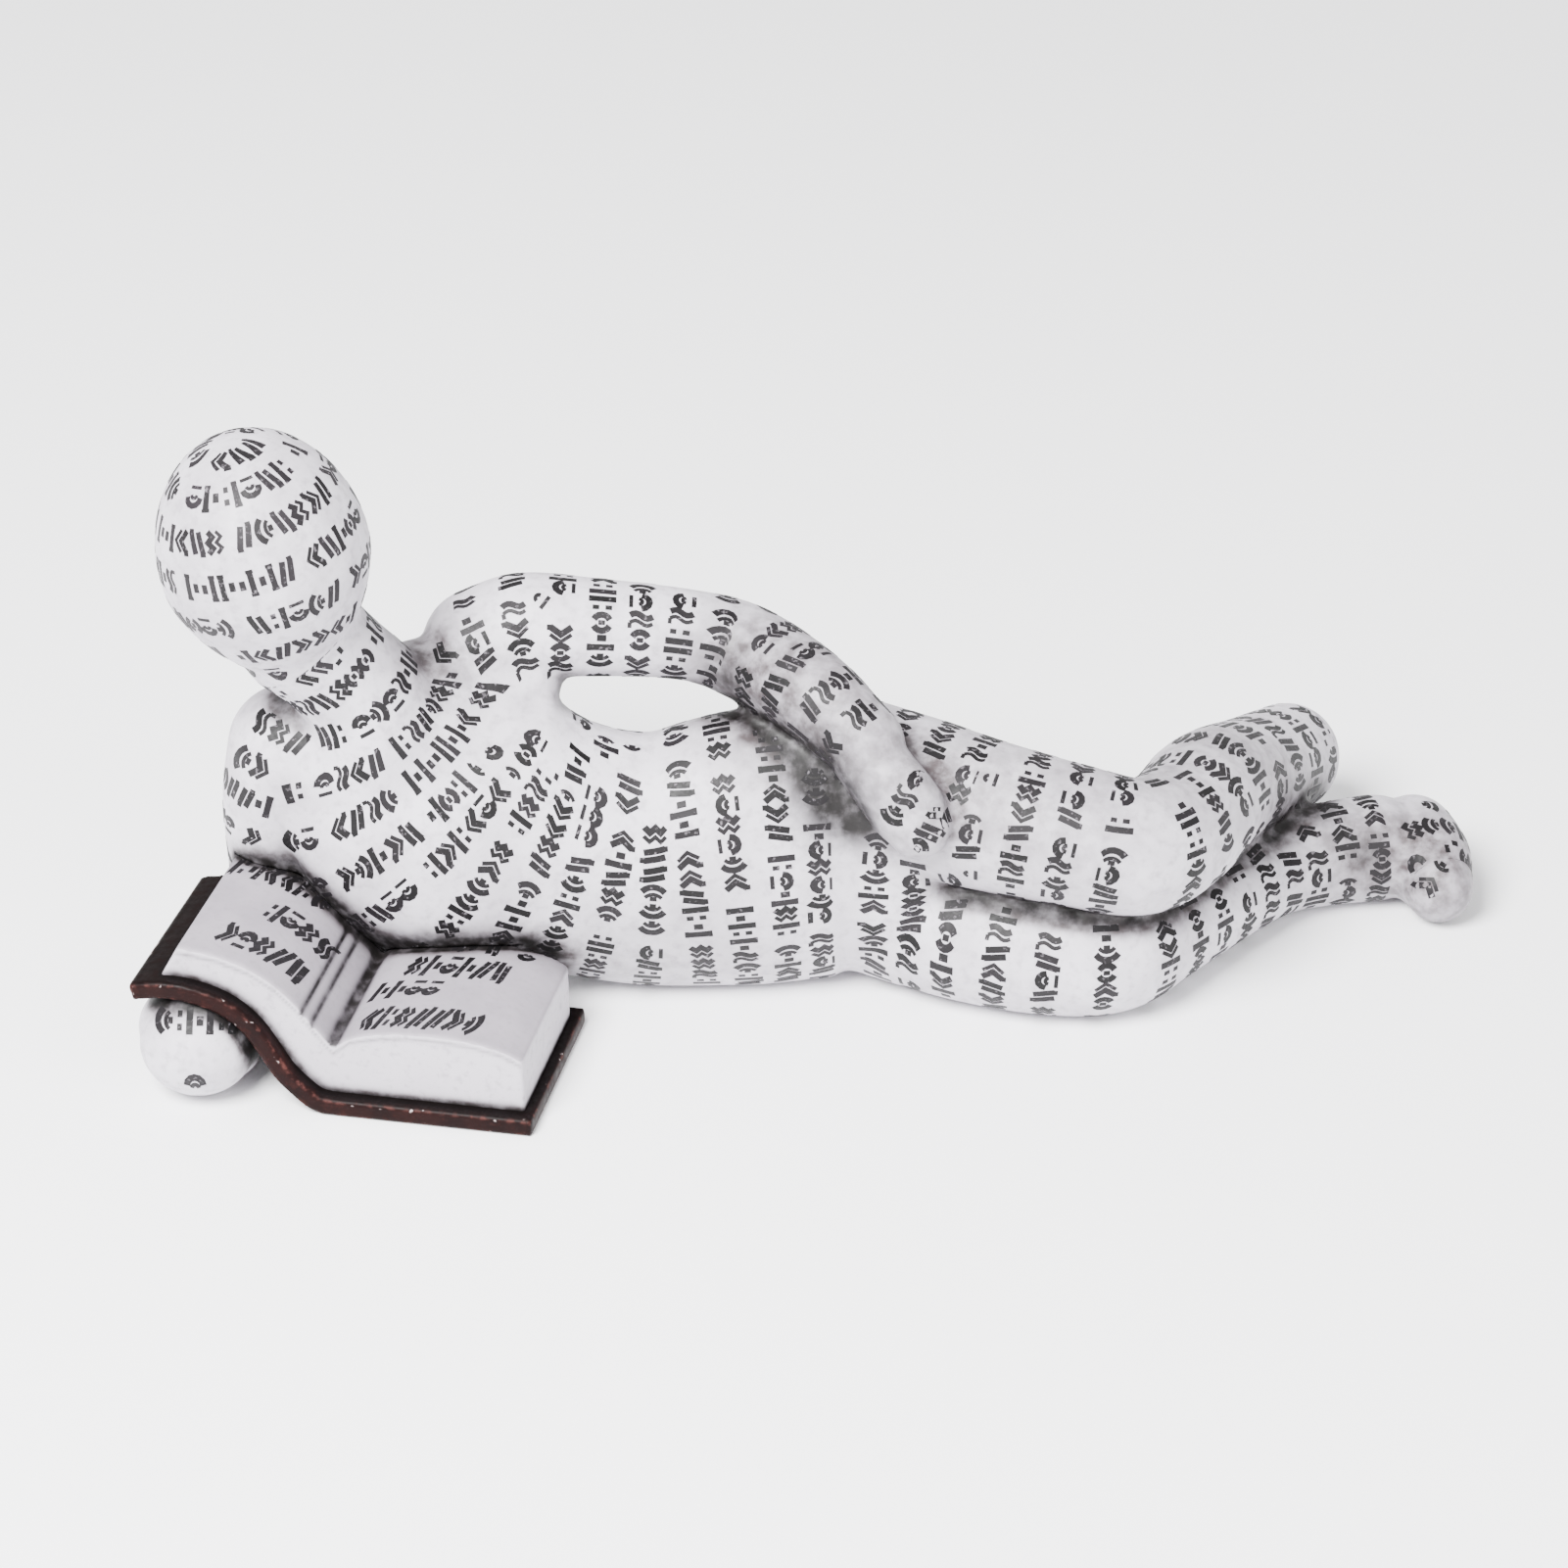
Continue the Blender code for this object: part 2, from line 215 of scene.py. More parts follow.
# How dark the page block is made, as wash and painted shade, and where, in mm: how wide in the gutter, from
# where it grows towards the far end and over what length, and how far under the near top edge it makes a line,
# and how wide.
GUTTER_SHADE, GUTTER_WIDTH = 2.4, 0.8
LEAF_GROOVE_SHADE = 1.1
FAR_END_DARKENING, FAR_START, FAR_GROWTH = 0.7, 22.0, 8.0
EDGE_LINE_DARKENING, EDGE_DROP, EDGE_WIDTH = 0.5, 1.1, 0.3

# The rows printed on the pages: a place along the spine, two ends across it, and a height. In mm.
PAGE_SIGN_ADVANCE = 2.55
PAGE_SIGN_WIDTH = 0.82
PAGE_SIGN_SLANT = 0.22
ABOVE_BOOK = 45.0
PAGE_ROWS = [
    (9.0, -17.0, -4.5, 5.6),
    (18.0, -13.0, -2.6, 5.2),
    (26.6, -21.0, -6.0, 5.0),
    (7.0, 4.6, 24.5, 6.0),
    (15.0, 4.0, 15.5, 4.6),
    (21.6, 7.6, 23.4, 5.6),
    (27.6, 10.0, 27.0, 3.6),
]


def blend(a, b, c, d, t):
    """Catmull-Rom value between b and c."""
    return 0.5 * (
        2.0 * b
        + (c - a) * t
        + (2.0 * a - 5.0 * b + 4.0 * c - d) * t * t
        + (3.0 * b - a - 3.0 * c + d) * t * t * t
    )


def limb_frames(rows, steps):
    """Smooth stations along a limb: centre, tangent, side, cross and the two half widths, in metres."""
    whole = [(*row[:5], *(row[5] if len(row) > 5 else SIDE_UP)) for row in rows]
    first = [2.0 * a - b for a, b in zip(whole[0], whole[1])]
    last = [2.0 * a - b for a, b in zip(whole[-1], whole[-2])]
    padded = [first, *whole, last]
    samples = []
    for i in range(len(whole) - 1):
        for k in range(steps if i < len(whole) - 2 else steps + 1):
            quad = zip(padded[i], padded[i + 1], padded[i + 2], padded[i + 3])
            samples.append([blend(*q, k / steps) for q in quad])
    out = []
    for i, s in enumerate(samples):
        before = Vector(samples[max(i - 1, 0)][:3])
        after = Vector(samples[min(i + 1, len(samples) - 1)][:3])
        tangent = (after - before).normalized()
        side = Vector(s[5:8])
        side = (side - tangent * side.dot(tangent)).normalized()
        out.append((Vector(s[:3]) * MM, tangent, side, tangent.cross(side), s[3] * MM, s[4] * MM))
    return out


def ring_place(centre, tangent, side, cross, a, b):
    """The matrix that lays a unit circle round the limb."""
    place = Matrix((side * a, cross * b, tangent * min(a, b))).transposed().to_4x4()
    place.translation = centre
    return place


def cap_places(station, way, count):
    """Shrinking rings that round off a limb's end, from the limb outwards."""
    centre, tangent, side, cross, a, b = station
    out = []
    for k in range(1, count + 1):
        angle = math.pi / 2.0 * k / (count + 1)
        shift = tangent * (way * min(a, b) * math.sin(angle))
        shrink = math.cos(angle)
        out.append(ring_place(centre + shift, tangent, side, cross, a * shrink, b * shrink))
    return out


def limb_tube(bm, rows):
    """One limb: a circle pulled along its stations, closed at both ends."""
    stations = limb_frames(rows, LIMB_STEPS)
    places = cap_places(stations[0], -1.0, CAP_RINGS)[::-1]
    places += [ring_place(*s) for s in stations]
    places += cap_places(stations[-1], 1.0, CAP_RINGS)
    made = bmesh.ops.create_circle(
        bm, cap_ends=True, segments=RING_POINTS, radius=1.0, matrix=places[0],
    )
    edges = list({e for v in made["verts"] for e in v.link_edges})
    for before, after in zip(places, places[1:]):
        pulled = bmesh.ops.extrude_edge_only(bm, edges=edges)["geom"]
        edges = [g for g in pulled if isinstance(g, bmesh.types.BMEdge)]
        verts = [g for g in pulled if isinstance(g, bmesh.types.BMVert)]
        bmesh.ops.transform(bm, matrix=after @ before.inverted(), verts=verts)
    bmesh.ops.contextual_create(bm, geom=edges)


def head_turn():
    side = Vector((1.0, 0.0, 0.0))
    side = (side - HEAD_AXIS * side.dot(HEAD_AXIS)).normalized()
    return Matrix((side, HEAD_AXIS.cross(side), HEAD_AXIS)).transposed()


def head_point(p):
    """A point of the unit ball as a point of the egg-shaped head."""
    taper = 1.0 - HEAD_CHIN_TAPER * max(0.0, -p.z) ** 1.5
    local = Vector((
        p.x * HEAD_HALF_WIDTH * taper,
        p.y * HEAD_HALF_DEPTH * taper,
        p.z * HEAD_HALF_HEIGHT,
    ))
    return HEAD_CENTRE + head_turn() @ local


def new_mesh(name, bm, flip=True):
    if flip:
        bmesh.ops.recalc_face_normals(bm, faces=bm.faces)
    mesh = bpy.data.meshes.new(name)
    bm.to_mesh(mesh)
    bm.free()
    return mesh


def loose_object(name, mesh):
    made = bpy.data.objects.new(name, mesh)
    bpy.context.scene.collection.objects.link(made)
    return made


def settled(obj, name):
    """The object's mesh with its modifiers applied. The object and its old mesh go."""
    graph = bpy.context.evaluated_depsgraph_get()
    mesh = bpy.data.meshes.new_from_object(obj.evaluated_get(graph))
    old = obj.data
    bpy.data.objects.remove(obj, do_unlink=True)
    bpy.data.meshes.remove(old)
    mesh.name = name
    return mesh


def offset_line(points, distance):
    """The open line moved to its left by a distance, with mitred corners."""
    flat = [Vector(p) for p in points]
    out = []
    for i, p in enumerate(flat):
        steps = []
        if i > 0:
            steps.append((p - flat[i - 1]).normalized())
        if i < len(flat) - 1:
            steps.append((flat[i + 1] - p).normalized())
        normals = [Vector((-s.y, s.x)) for s in steps]
        mean = sum(normals, Vector((0.0, 0.0))).normalized()
        out.append(p + mean * (distance / mean.dot(normals[0])))
    return out


def rounded_line(points, rounds=2):
    """The open line with its inner corners cut twice, so that it bends gently."""
    line = [Vector(p) for p in points]
    for _ in range(rounds):
        cut = [line[0]]
        for p, q in zip(line, line[1:]):
            reach = min(0.25, CORNER_CUT / max((q - p).length, 0.001))
            cut.append(p.lerp(q, reach))
            cut.append(q.lerp(p, reach))
        line = [*cut, line[-1]]
    return line


def book_point(p):
    """A point of the book's own frame, in mm, as a point of the part in metres."""
    lean = BOOK_LEAN + BOOK_LEFT_LEAN * max(0.0, -p.x)
    return (BOOK_ORIGIN + BOOK_TURN @ Vector((p.x + lean * p.y, p.y, p.z))) * MM


def book_block(outline, start, end, slices):
    """The outline, given across the spine, pulled along it in slices. Still in the book's own frame."""
    bm = bmesh.new()
    verts = [bm.verts.new((p.x, start, p.y)) for p in outline]
    face = bm.faces.new(verts)
    front = [face]
    for _ in range(slices):
        pulled = bmesh.ops.extrude_face_region(bm, geom=front)["geom"]
        verts = [g for g in pulled if isinstance(g, bmesh.types.BMVert)]
        stale = front[0]
        front = [g for g in pulled if isinstance(g, bmesh.types.BMFace)]
        bmesh.ops.translate(bm, verts=verts, vec=(0.0, (end - start) / slices, 0.0))
        if stale is not face and stale.is_valid:
            bm.faces.remove(stale)
    bmesh.ops.recalc_face_normals(bm, faces=bm.faces)
    return bm


def cover_outline(rounds=2):
    under = rounded_line(COVER_UNDERSIDE, rounds) if rounds else [Vector(p) for p in COVER_UNDERSIDE]
    return under[::-1] + offset_line(under, -BOARD)


def page_outline(rounds=2):
    inside = offset_line(COVER_UNDERSIDE, -BOARD / 2.0)
    foot = [p for p in inside if PAGE_FOOT_LEFT < p.x < PAGE_FOOT_RIGHT]
    left = Vector((PAGE_FOOT_LEFT, COVER_UNDERSIDE[-2][1] + BOARD / 2.0))
    right = Vector((PAGE_FOOT_RIGHT, BOARD / 2.0))
    top = rounded_line(PAGE_TOP_RIGHT, rounds)[:-1] + rounded_line(PAGE_TOP_LEFT, rounds)
    return [left, *foot[::-1], right] + top


def grown(outline, distance):
    closed = [outline[-1], *outline, outline[0]]
    return offset_line(closed, -distance)[1:-1]


def book_room(name, outline, start, end):
    bm = book_block(grown(outline, JOIN_GAP), start - JOIN_GAP, end + JOIN_GAP, 1)
    for vert in bm.verts:
        vert.co = book_point(vert.co)
    return loose_object(name, new_mesh(name, bm))


def cut_away(obj, cutter):
    cut = obj.modifiers.new(cutter.name, "BOOLEAN")
    cut.operation = "DIFFERENCE"
    cut.solver = "EXACT"
    cut.object = cutter


def figure_skin():
    """All limbs fused into one skin, smoothed, cut flat on the shelf and cut back from the book."""
    bm = bmesh.new()
    head = bmesh.ops.create_uvsphere(bm, u_segments=64, v_segments=40, radius=1.0)
    for vert in head["verts"]:
        vert.co = head_point(vert.co)
    for rows in LIMBS:
        limb_tube(bm, rows)
    body = loose_object("body", new_mesh("body", bm))
    fuse = body.modifiers.new("fuse", "REMESH")
    fuse.mode = "VOXEL"
    fuse.voxel_size = SKIN_VOXEL
    smooth = body.modifiers.new("smooth", "SMOOTH")
    smooth.factor = 0.5
    smooth.iterations = SKIN_ROUNDS
    bm = bmesh.new()
    bmesh.ops.create_cube(bm, size=0.5, matrix=Matrix.Translation((0.0, 0.0, -0.25)))
    cutters = [loose_object("shelf_cut", new_mesh("shelf_cut", bm))]
    cutters.append(book_room("cover_room", cover_outline(0), 0.0, BOARD_LENGTH))
    cutters.append(book_room("page_room", page_outline(0), PAGE_MARGIN, PAGE_END))
    for cutter in cutters:
        cut_away(body, cutter)
    mesh = settled(body, "figure_skin")
    for cutter in cutters:
        bpy.data.objects.remove(cutter, do_unlink=True)
    return mesh


def fine_block(name, outline, start, end, edge, voxel):
    """A book block in its own frame: arrises rounded and an even fine skin. Also points along its arrises."""
    bm = book_block(outline, start, end, BLOCK_SLICES)
    sharp = [e for e in bm.edges if e.is_manifold and e.calc_face_angle() > SHARP]
    arrises = []
    for line in sharp:
        near, far = (v.co.copy() for v in line.verts)
        count = max(1, math.ceil((far - near).length / ARRIS_STEP))
        arrises += [near.lerp(far, k / count) for k in range(count + 1)]
    bmesh.ops.bevel(
        bm, geom=sharp, offset=edge, offset_type="OFFSET", segments=2, profile=0.5,
        affect="EDGES", clamp_overlap=True, material=-1,
    )
    block = loose_object(name, new_mesh(name, bm))
    fuse = block.modifiers.new("fuse", "REMESH")
    fuse.mode = "VOXEL"
    fuse.voxel_size = voxel
    smooth = block.modifiers.new("smooth", "SMOOTH")
    smooth.factor = 0.5
    smooth.iterations = 2
    return settled(block, name), arrises


def arris_values(mesh, arrises):
    """How near each point is to an arris: 1 on it, next to nothing 2 mm away."""
    tree = KDTree(len(arrises))
    for i, place in enumerate(arrises):
        tree.insert(place, i)
    tree.balance()
    return [math.exp(-(tree.find(v.co)[2] / ARRIS_WEAR) ** 2) for v in mesh.vertices]


def leaf_grooves(mesh):
    """Presses the edges of two turned leaves into the left page, beside the gutter."""
    for vert in mesh.vertices:
        if vert.normal.z > 0.3:
            for line in LEAF_LINES:
                far = (vert.co.x - line) / LEAF_LINE_WIDTH
                vert.co.z -= LEAF_LINE_DEPTH * math.exp(-far * far)


def page_darkening(mesh):
    """How dark the pages are made, as wash and painted shade: painted shade in the gutter and the pressed leaf
    lines, darker towards the far end, and a line under the near top edge.
    """
    top = sorted([*PAGE_TOP_RIGHT, *PAGE_TOP_LEFT])
    sideways = [p[0] for p in top]
    heights = [p[1] for p in top]
    values = []
    for vert in mesh.vertices:
        x, y, z = vert.co
        value = 0.0
        if vert.normal.y > -0.7:
            value += GUTTER_SHADE * math.exp(-((x - GUTTER) / GUTTER_WIDTH) ** 2)
        if vert.normal.z > 0.3:
            for line in LEAF_LINES:
                value += LEAF_GROOVE_SHADE * math.exp(-((x - line) / LEAF_LINE_WIDTH) ** 2)
            value += FAR_END_DARKENING * min(1.0, max(0.0, (y - FAR_START) / FAR_GROWTH)) ** 2
        elif vert.normal.y < -0.7:
            below = float(np.interp(x, sideways, heights)) - z
            value += EDGE_LINE_DARKENING * math.exp(-((below - EDGE_DROP) / EDGE_WIDTH) ** 2)
        values.append(min(1.0, value))
    return values


def set_in_place(mesh):
    for vert in mesh.vertices:
        vert.co = book_point(vert.co)
    mesh.update()


def piece(name, mesh, finish, node=None):
    mesh.materials.clear()
    mesh.materials.append(finish)
    made = loose_object(name, mesh)
    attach(made, "root")
    if node:
        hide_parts(node)
    return made


def linear(code):
    """An sRGB hex colour as linear values."""
    channels = [int(code[i:i + 2], 16) / 255.0 for i in (1, 3, 5)]
    return (*[c / 12.92 if c <= 0.04045 else ((c + 0.055) / 1.055) ** 2.4 for c in channels], 1.0)


def add(material, kind, **settings):
    """Adds a node. A setting is a property of it, or what a socket gets: a value, a hex colour or a link."""
    node = material.node_tree.nodes.new("ShaderNode" + kind)
    sockets = {socket.identifier.replace(" ", "_"): socket for socket in node.inputs}
    for key, value in settings.items():
        if key not in sockets:
            setattr(node, key, value)
        elif isinstance(value, bpy.types.NodeSocket):
            material.node_tree.links.new(value, sockets[key])
        elif isinstance(value, bpy.types.Node):
            used = next(output for output in value.outputs if output.enabled)
            material.node_tree.links.new(used, sockets[key])
        else:
            sockets[key].default_value = linear(value) if isinstance(value, str) else value
    return node


RAY_LIFT = 0.12 * MM
CREASE_ROUNDS = 4


def crease_values(mesh, tree, reach, count):
    """How shut-in each point of a mesh is, from 0 in the open to 1 deep in a crease, averaged a little."""
    golden = math.pi * (3.0 - math.sqrt(5.0))
    fan = []
    for k in range(count):
        up = math.sqrt((k + 0.5) / count)
        out = math.sqrt(1.0 - up * up)
        fan.append(Vector((out * math.cos(k * golden), out * math.sin(k * golden), up)))
    values = np.zeros(len(mesh.vertices))
    for i, vert in enumerate(mesh.vertices):
        normal = vert.normal
        start = vert.co + normal * RAY_LIFT
        first = normal.orthogonal().normalized()
        second = normal.cross(first)
        shut = 0.0
        for ray in fan:
            way = first * ray.x + second * ray.y + normal * ray.z
            distance = tree.ray_cast(start, way, reach)[3]
            if distance is not None:
                shut += 1.0 - distance / reach
        values[i] = shut / count
    ends = np.zeros(len(mesh.edges) * 2, int)
    mesh.edges.foreach_get("vertices", ends)
    ends = ends.reshape(-1, 2)
    for _ in range(CREASE_ROUNDS):
        total = values.copy()
        share = np.ones(len(values))
        np.add.at(total, ends[:, 0], values[ends[:, 1]])
        np.add.at(total, ends[:, 1], values[ends[:, 0]])
        np.add.at(share, ends[:, 0], 1.0)
        np.add.at(share, ends[:, 1], 1.0)
        values = total / share
    return values


def point_values(mesh, name, values):
    layer = mesh.attributes.new(name, "FLOAT", "POINT")
    layer.data.foreach_set("value", np.asarray(values, np.float32))


# Places on the skin darkened with painted shade and a brown-black wash, such as the gap behind the forearm: a
# centre and a radius in mm, and how much. Veils darken, pools are black.
SHADE_AND_WASH_VEILS = [
    ((-12.0, -2.0, 52.0), 11.0, 1.00),
    ((-2.0, -8.0, 48.0), 10.0, 0.80),
    ((1.0, -12.0, 39.0), 9.0, 0.70),
    ((14.6, -17.0, 41.0), 14.0, 0.70),
    ((36.0, -20.0, 36.0), 14.0, 0.40),
    ((48.0, -8.0, 32.0), 10.0, 0.70),
    ((93.0, 12.0, 9.0), 12.0, 1.00),
    ((82.0, 12.0, 12.0), 8.0, 0.80),
    ((66.0, 13.0, 20.0), 10.0, 0.80),
    ((58.0, 8.0, 33.0), 10.0, 0.60),
    ((-76.0, -4.0, 50.0), 9.0, 0.45),
    ((-92.0, -30.0, 4.0), 9.0, 0.45),
    ((-60.0, -5.0, 56.5), 9.0, 0.90),
    ((-30.0, -16.0, 8.0), 16.0, 0.40),
    ((-84.0, -26.0, 84.0), 14.0, 0.30),
]
SHADE_AND_WASH_POOLS = [
    ((-15.0, -2.0, 50.5), 4.5, 0.85),
    ((-8.0, -7.5, 46.0), 4.5, 0.90),
    ((-0.8, -12.0, 42.0), 6.0, 1.80),
    ((3.0, -15.5, 36.0), 6.0, 1.80),
    ((57.0, 4.0, 20.0), 4.0, 1.00),
    ((66.0, 12.0, 19.0), 4.5, 1.10),
    ((75.0, 19.0, 17.0), 4.5, 0.90),
    ((82.0, 13.0, 11.5), 3.0, 0.70),
    ((-61.0, -4.5, 56.0), 3.6, 0.60),
    ((93.5, 13.0, 2.5), 4.0, 0.70),
]


def spot_values(mesh, spots):
    places = np.zeros(len(mesh.vertices) * 3)
    mesh.vertices.foreach_get("co", places)
    places = places.reshape(-1, 3) / MM
    values = np.zeros(len(places))
    for centre, radius, amount in spots:
        far = np.linalg.norm(places - np.array(centre), axis=1) / radius
        values += amount * np.exp(-far * far)
    return np.clip(values, 0.0, 1.0)


# The printed strokes, in mm. A sign is about 3 wide and 4 high, and each stroke in it is a width and a line.
SIGN_ADVANCE = 3.0
SIGN_HEIGHT = 3.9
GROUP_SIZES = (4, 5, 7, 4, 5, 7, 6)
GROUP_GAP = (1.2, 2.6)
RING_ANGLES = 97
THICK = 1.0
THIN = 0.60
STROKE_STEP = 1.05
ROW_ROOM = 0.75 * MM
PRINT_LIFT = 0.05 * MM
FILM = 0.11 * MM
LOWEST_PRINT = 0.6 * MM
PATCH_REACH = 50.0 * MM

# How much further out than expected the skin may lie, and how close rows may come, before a sign is left out.
MOST_STRETCH = 1.5
CLOSEST_ROWS = 0.6


def arc_line(x, y, radius, start, end):
    turns = [math.radians(start + (end - start) * k / 6.0) for k in range(7)]
    return [(x + radius * math.cos(t), y + radius * math.sin(t)) for t in turns]


def wave_line(x, sway):
    return [(x + sway * math.sin(math.pi * k / 4.0), -1.7 + 3.4 * k / 8.0) for k in range(9)]


def bar(x, y, half):
    return (THIN, [(x - half, y), (x + half, y)])


def dot(x, y):
    return (THICK, [(x - 0.36, y), (x + 0.36, y)])


def post(x, low=-1.6, high=1.6):
    return (THICK, [(x, low), (x, high)])


LEANING = [(THICK, [(-1.0, -1.6), (-0.25, 1.6)]), (THICK, [(0.25, -1.6), (1.0, 1.6)])]
FALLING = [(THICK, [(-1.0, 1.6), (-0.25, -1.6)]), (THICK, [(0.25, 1.6), (1.0, -1.6)])]
WAVES = [(THICK, wave_line(-0.65, 0.35)), (THIN, wave_line(0.45, 0.35))]
ARCHES = [(THICK, arc_line(0.0, -0.1, 1.2, 0.0, 180.0)), (THIN, arc_line(0.0, -0.5, 0.5, 0.0, 180.0))]
CUPS = [(THICK, arc_line(0.0, 0.1, 1.2, 180.0, 360.0)), (THIN, arc_line(0.0, 0.5, 0.5, 180.0, 360.0))]
SIGNS = [
    [*LEANING, bar(-0.95, -1.75, 0.42), bar(0.95, 1.75, 0.42)],
    [*FALLING, bar(-0.95, 1.75, 0.42), bar(0.95, -1.75, 0.42)],
    [post(-0.75), post(0.75, -0.7, 0.7), bar(-0.75, -1.75, 0.55), bar(-0.75, 1.75, 0.55)],
    [post(0.75), post(-0.7, -0.8, 0.6), bar(0.75, -1.75, 0.55), bar(0.75, 1.75, 0.55)],
    [
        (THICK, arc_line(1.15, 0.0, 2.15, 126.0, 234.0)),
        (THIN, arc_line(1.75, 0.0, 1.55, 128.0, 232.0)),
        dot(0.95, 0.0),
    ],
    [
        (THICK, arc_line(-1.15, 0.0, 2.15, -54.0, 54.0)),
        (THIN, arc_line(-1.75, 0.0, 1.55, -52.0, 52.0)),
        dot(-0.85, 0.0),
    ],
    [*WAVES, bar(0.85, 1.7, 0.42)],
    [
        (THICK, [(-1.1, 1.6), (0.05, 0.0), (-1.1, -1.6)]),
        (THIN, [(0.05, 1.6), (1.2, 0.0), (0.05, -1.6)]),
        bar(-1.0, 1.75, 0.4),
    ],
    [
        (THICK, [(1.1, 1.6), (-0.05, 0.0), (1.1, -1.6)]),
        (THIN, [(-0.05, 1.6), (-1.2, 0.0), (-0.05, -1.6)]),
        bar(1.0, -1.75, 0.4),
    ],
    [post(-0.8), bar(-0.8, 1.75, 0.5), bar(-0.8, -1.75, 0.5), dot(0.65, 0.95), dot(0.65, -0.95)],
    [post(0.8), bar(0.8, 1.75, 0.5), bar(0.8, -1.75, 0.5), dot(-0.65, 0.95), dot(-0.65, -0.95)],
    [*ARCHES, bar(0.0, -1.65, 1.1)],
    [*CUPS, bar(0.0, 1.65, 1.1)],
    [
        (THICK, arc_line(0.1, 0.0, 1.3, 115.0, 245.0)),
        (THICK, arc_line(-0.1, 0.0, 1.3, -65.0, 65.0)),
        dot(0.0, 0.0),
    ],
    [
        (THICK, [(-1.1, 1.6), (-0.35, 0.8), (-1.1, 0.0), (-0.35, -0.8), (-1.1, -1.6)]),
        (THIN, [(0.25, 1.6), (1.0, 0.8), (0.25, 0.0), (1.0, -0.8), (0.25, -1.6)]),
    ],
]


def evened(line, step):
    """The line with points added so that none are further apart than a step."""
    out = [Vector(line[0])]
    for p, q in zip(line, line[1:]):
        count = max(1, math.ceil((Vector(q) - Vector(p)).length / step))
        out += [Vector(p).lerp(Vector(q), (k + 1) / count) for k in range(count)]
    return out


def sign_mesh(name, strokes, boldness=1.0):
    """One sign laid flat, in mm: each stroke a strip of squares. Also the stroke that each point is of."""
    bm = bmesh.new()
    bm.verts.layers.float.new("tone")
    numbers = []
    for number, (width, line) in enumerate(strokes):
        middle = evened(line, STROKE_STEP)
        left = offset_line(middle, width * boldness / 2.0)
        right = offset_line(middle, -width * boldness / 2.0)
        count = len(middle) - 1
        strip = bmesh.ops.create_grid(bm, x_segments=count, y_segments=1, size=1.0)["verts"]
        for vert in strip:
            place = round((vert.co.x + 1.0) / 2.0 * count)
            point = left[place] if vert.co.y > 0.0 else right[place]
            numbers.append(number)
            vert.co = (point.x, point.y, 0.0)
    mesh = bpy.data.meshes.new(name)
    bm.to_mesh(mesh)
    bm.free()
    return mesh, numbers


def cell_of(point):
    return tuple(math.floor(c / (2.0 * MM)) for c in point)


def is_taken(taken, point, owner, room):
    x, y, z = cell_of(point)
    for i in (x - 1, x, x + 1):
        for j in (y - 1, y, y + 1):
            for k in (z - 1, z, z + 1):
                for other, place in taken.get((i, j, k), ()):
                    if other != owner and (place - point).length < room:
                        return True
    return False


def stamp(sheet, sign, locate, tone, taken, owner, room=ROW_ROOM, stretch=1.7):
    """Lays a sign on the surface. A stroke that runs off it, or into another row's, is left out."""
    bm = sheet["bm"]
    start = len(bm.verts)
    bm.from_mesh(sign[0])
    bm.verts.ensure_lookup_table()
    fresh = list(zip(bm.verts[start:], sign[1]))
    shade = bm.verts.layers.float["tone"]
    lost = set()
    covered = []
    facing = {}
    last = {}
    for vert, number in fresh:
        vert[shade] = tone
        if number in lost:
            continue
        found = locate(vert.co.x, vert.co.y)
        if found is None or is_taken(taken, found[0], owner, room):
            lost.add(number)
            continue
        flat = vert.co.copy()
        if number in last:
            apart = (flat - last[number][0]).length * MM
            if not 0.4 * apart < (found[0] - last[number][1]).length < stretch * apart:
                lost.add(number)
                continue
        last[number] = (flat, found[0])
        facing[vert] = found[1]
        covered.append((number, found[0].copy()))
        vert.co = found[0] + found[1] * PRINT_LIFT
    if 2 * len(lost) > sign[1][-1]:
        lost = set(sign[1])
    kept = [v for v, number in fresh if number not in lost]
    sheet["gone"] += [v for v, number in fresh if number in lost]
    turned = []
    for face in {f for v in kept for f in v.link_faces}:
        face.normal_update()
        if face.normal.dot(facing[face.verts[0]]) < 0.0:
            turned.append(face)
    bmesh.ops.reverse_faces(bm, faces=turned)
    for number, place in covered:
        if number not in lost:
            taken.setdefault(cell_of(place), []).append((owner, place))


def round_limb(rows):
    """Where a station along a limb and an angle round it lie: a point on the axis and one on the surface."""
    stations = limb_frames(rows, 8)
    run = [0.0]
    for p, q in zip(stations, stations[1:]):
        run.append(run[-1] + (q[0] - p[0]).length)

    def point(along, angle):
        along = min(max(along, 0.0), run[-1])
        i = max(1, int(np.searchsorted(run, along)))
        t = (along - run[i - 1]) / (run[i] - run[i - 1])
        p, q = stations[i - 1], stations[i]
        centre = p[0].lerp(q[0], t)
        side = p[2].lerp(q[2], t) * ((p[4] + (q[4] - p[4]) * t) * math.cos(angle))
        cross = p[3].lerp(q[3], t) * ((p[5] + (q[5] - p[5]) * t) * math.sin(angle))
        return centre, centre + side + cross

    return point, run[-1]


def round_head():
    """The same for the head: stations run down from the crown."""
    scale = (HEAD_HALF_HEIGHT + HEAD_HALF_WIDTH) / 2.0

    def point(along, angle):
        tilt = along / scale
        ball = Vector((math.sin(tilt) * math.cos(angle), math.sin(tilt) * math.sin(angle), math.cos(tilt)))
        return HEAD_CENTRE, head_point(ball)

    return point, math.pi * scale


def outer_hit(tree, origin, target, short, reach):
    """The skin where a ray from inside leaves it, if that is about where the limb's own surface should be."""
    way = target - origin
    width = way.length
    way.normalize()
    place, normal, _, distance = tree.ray_cast(origin, way)
    if place is None or distance > min(width + reach, width * MOST_STRETCH) or distance < width - short:
        return None
    if place.z < LOWEST_PRINT or normal.dot(way) < 0.3:
        return None
    return place, normal


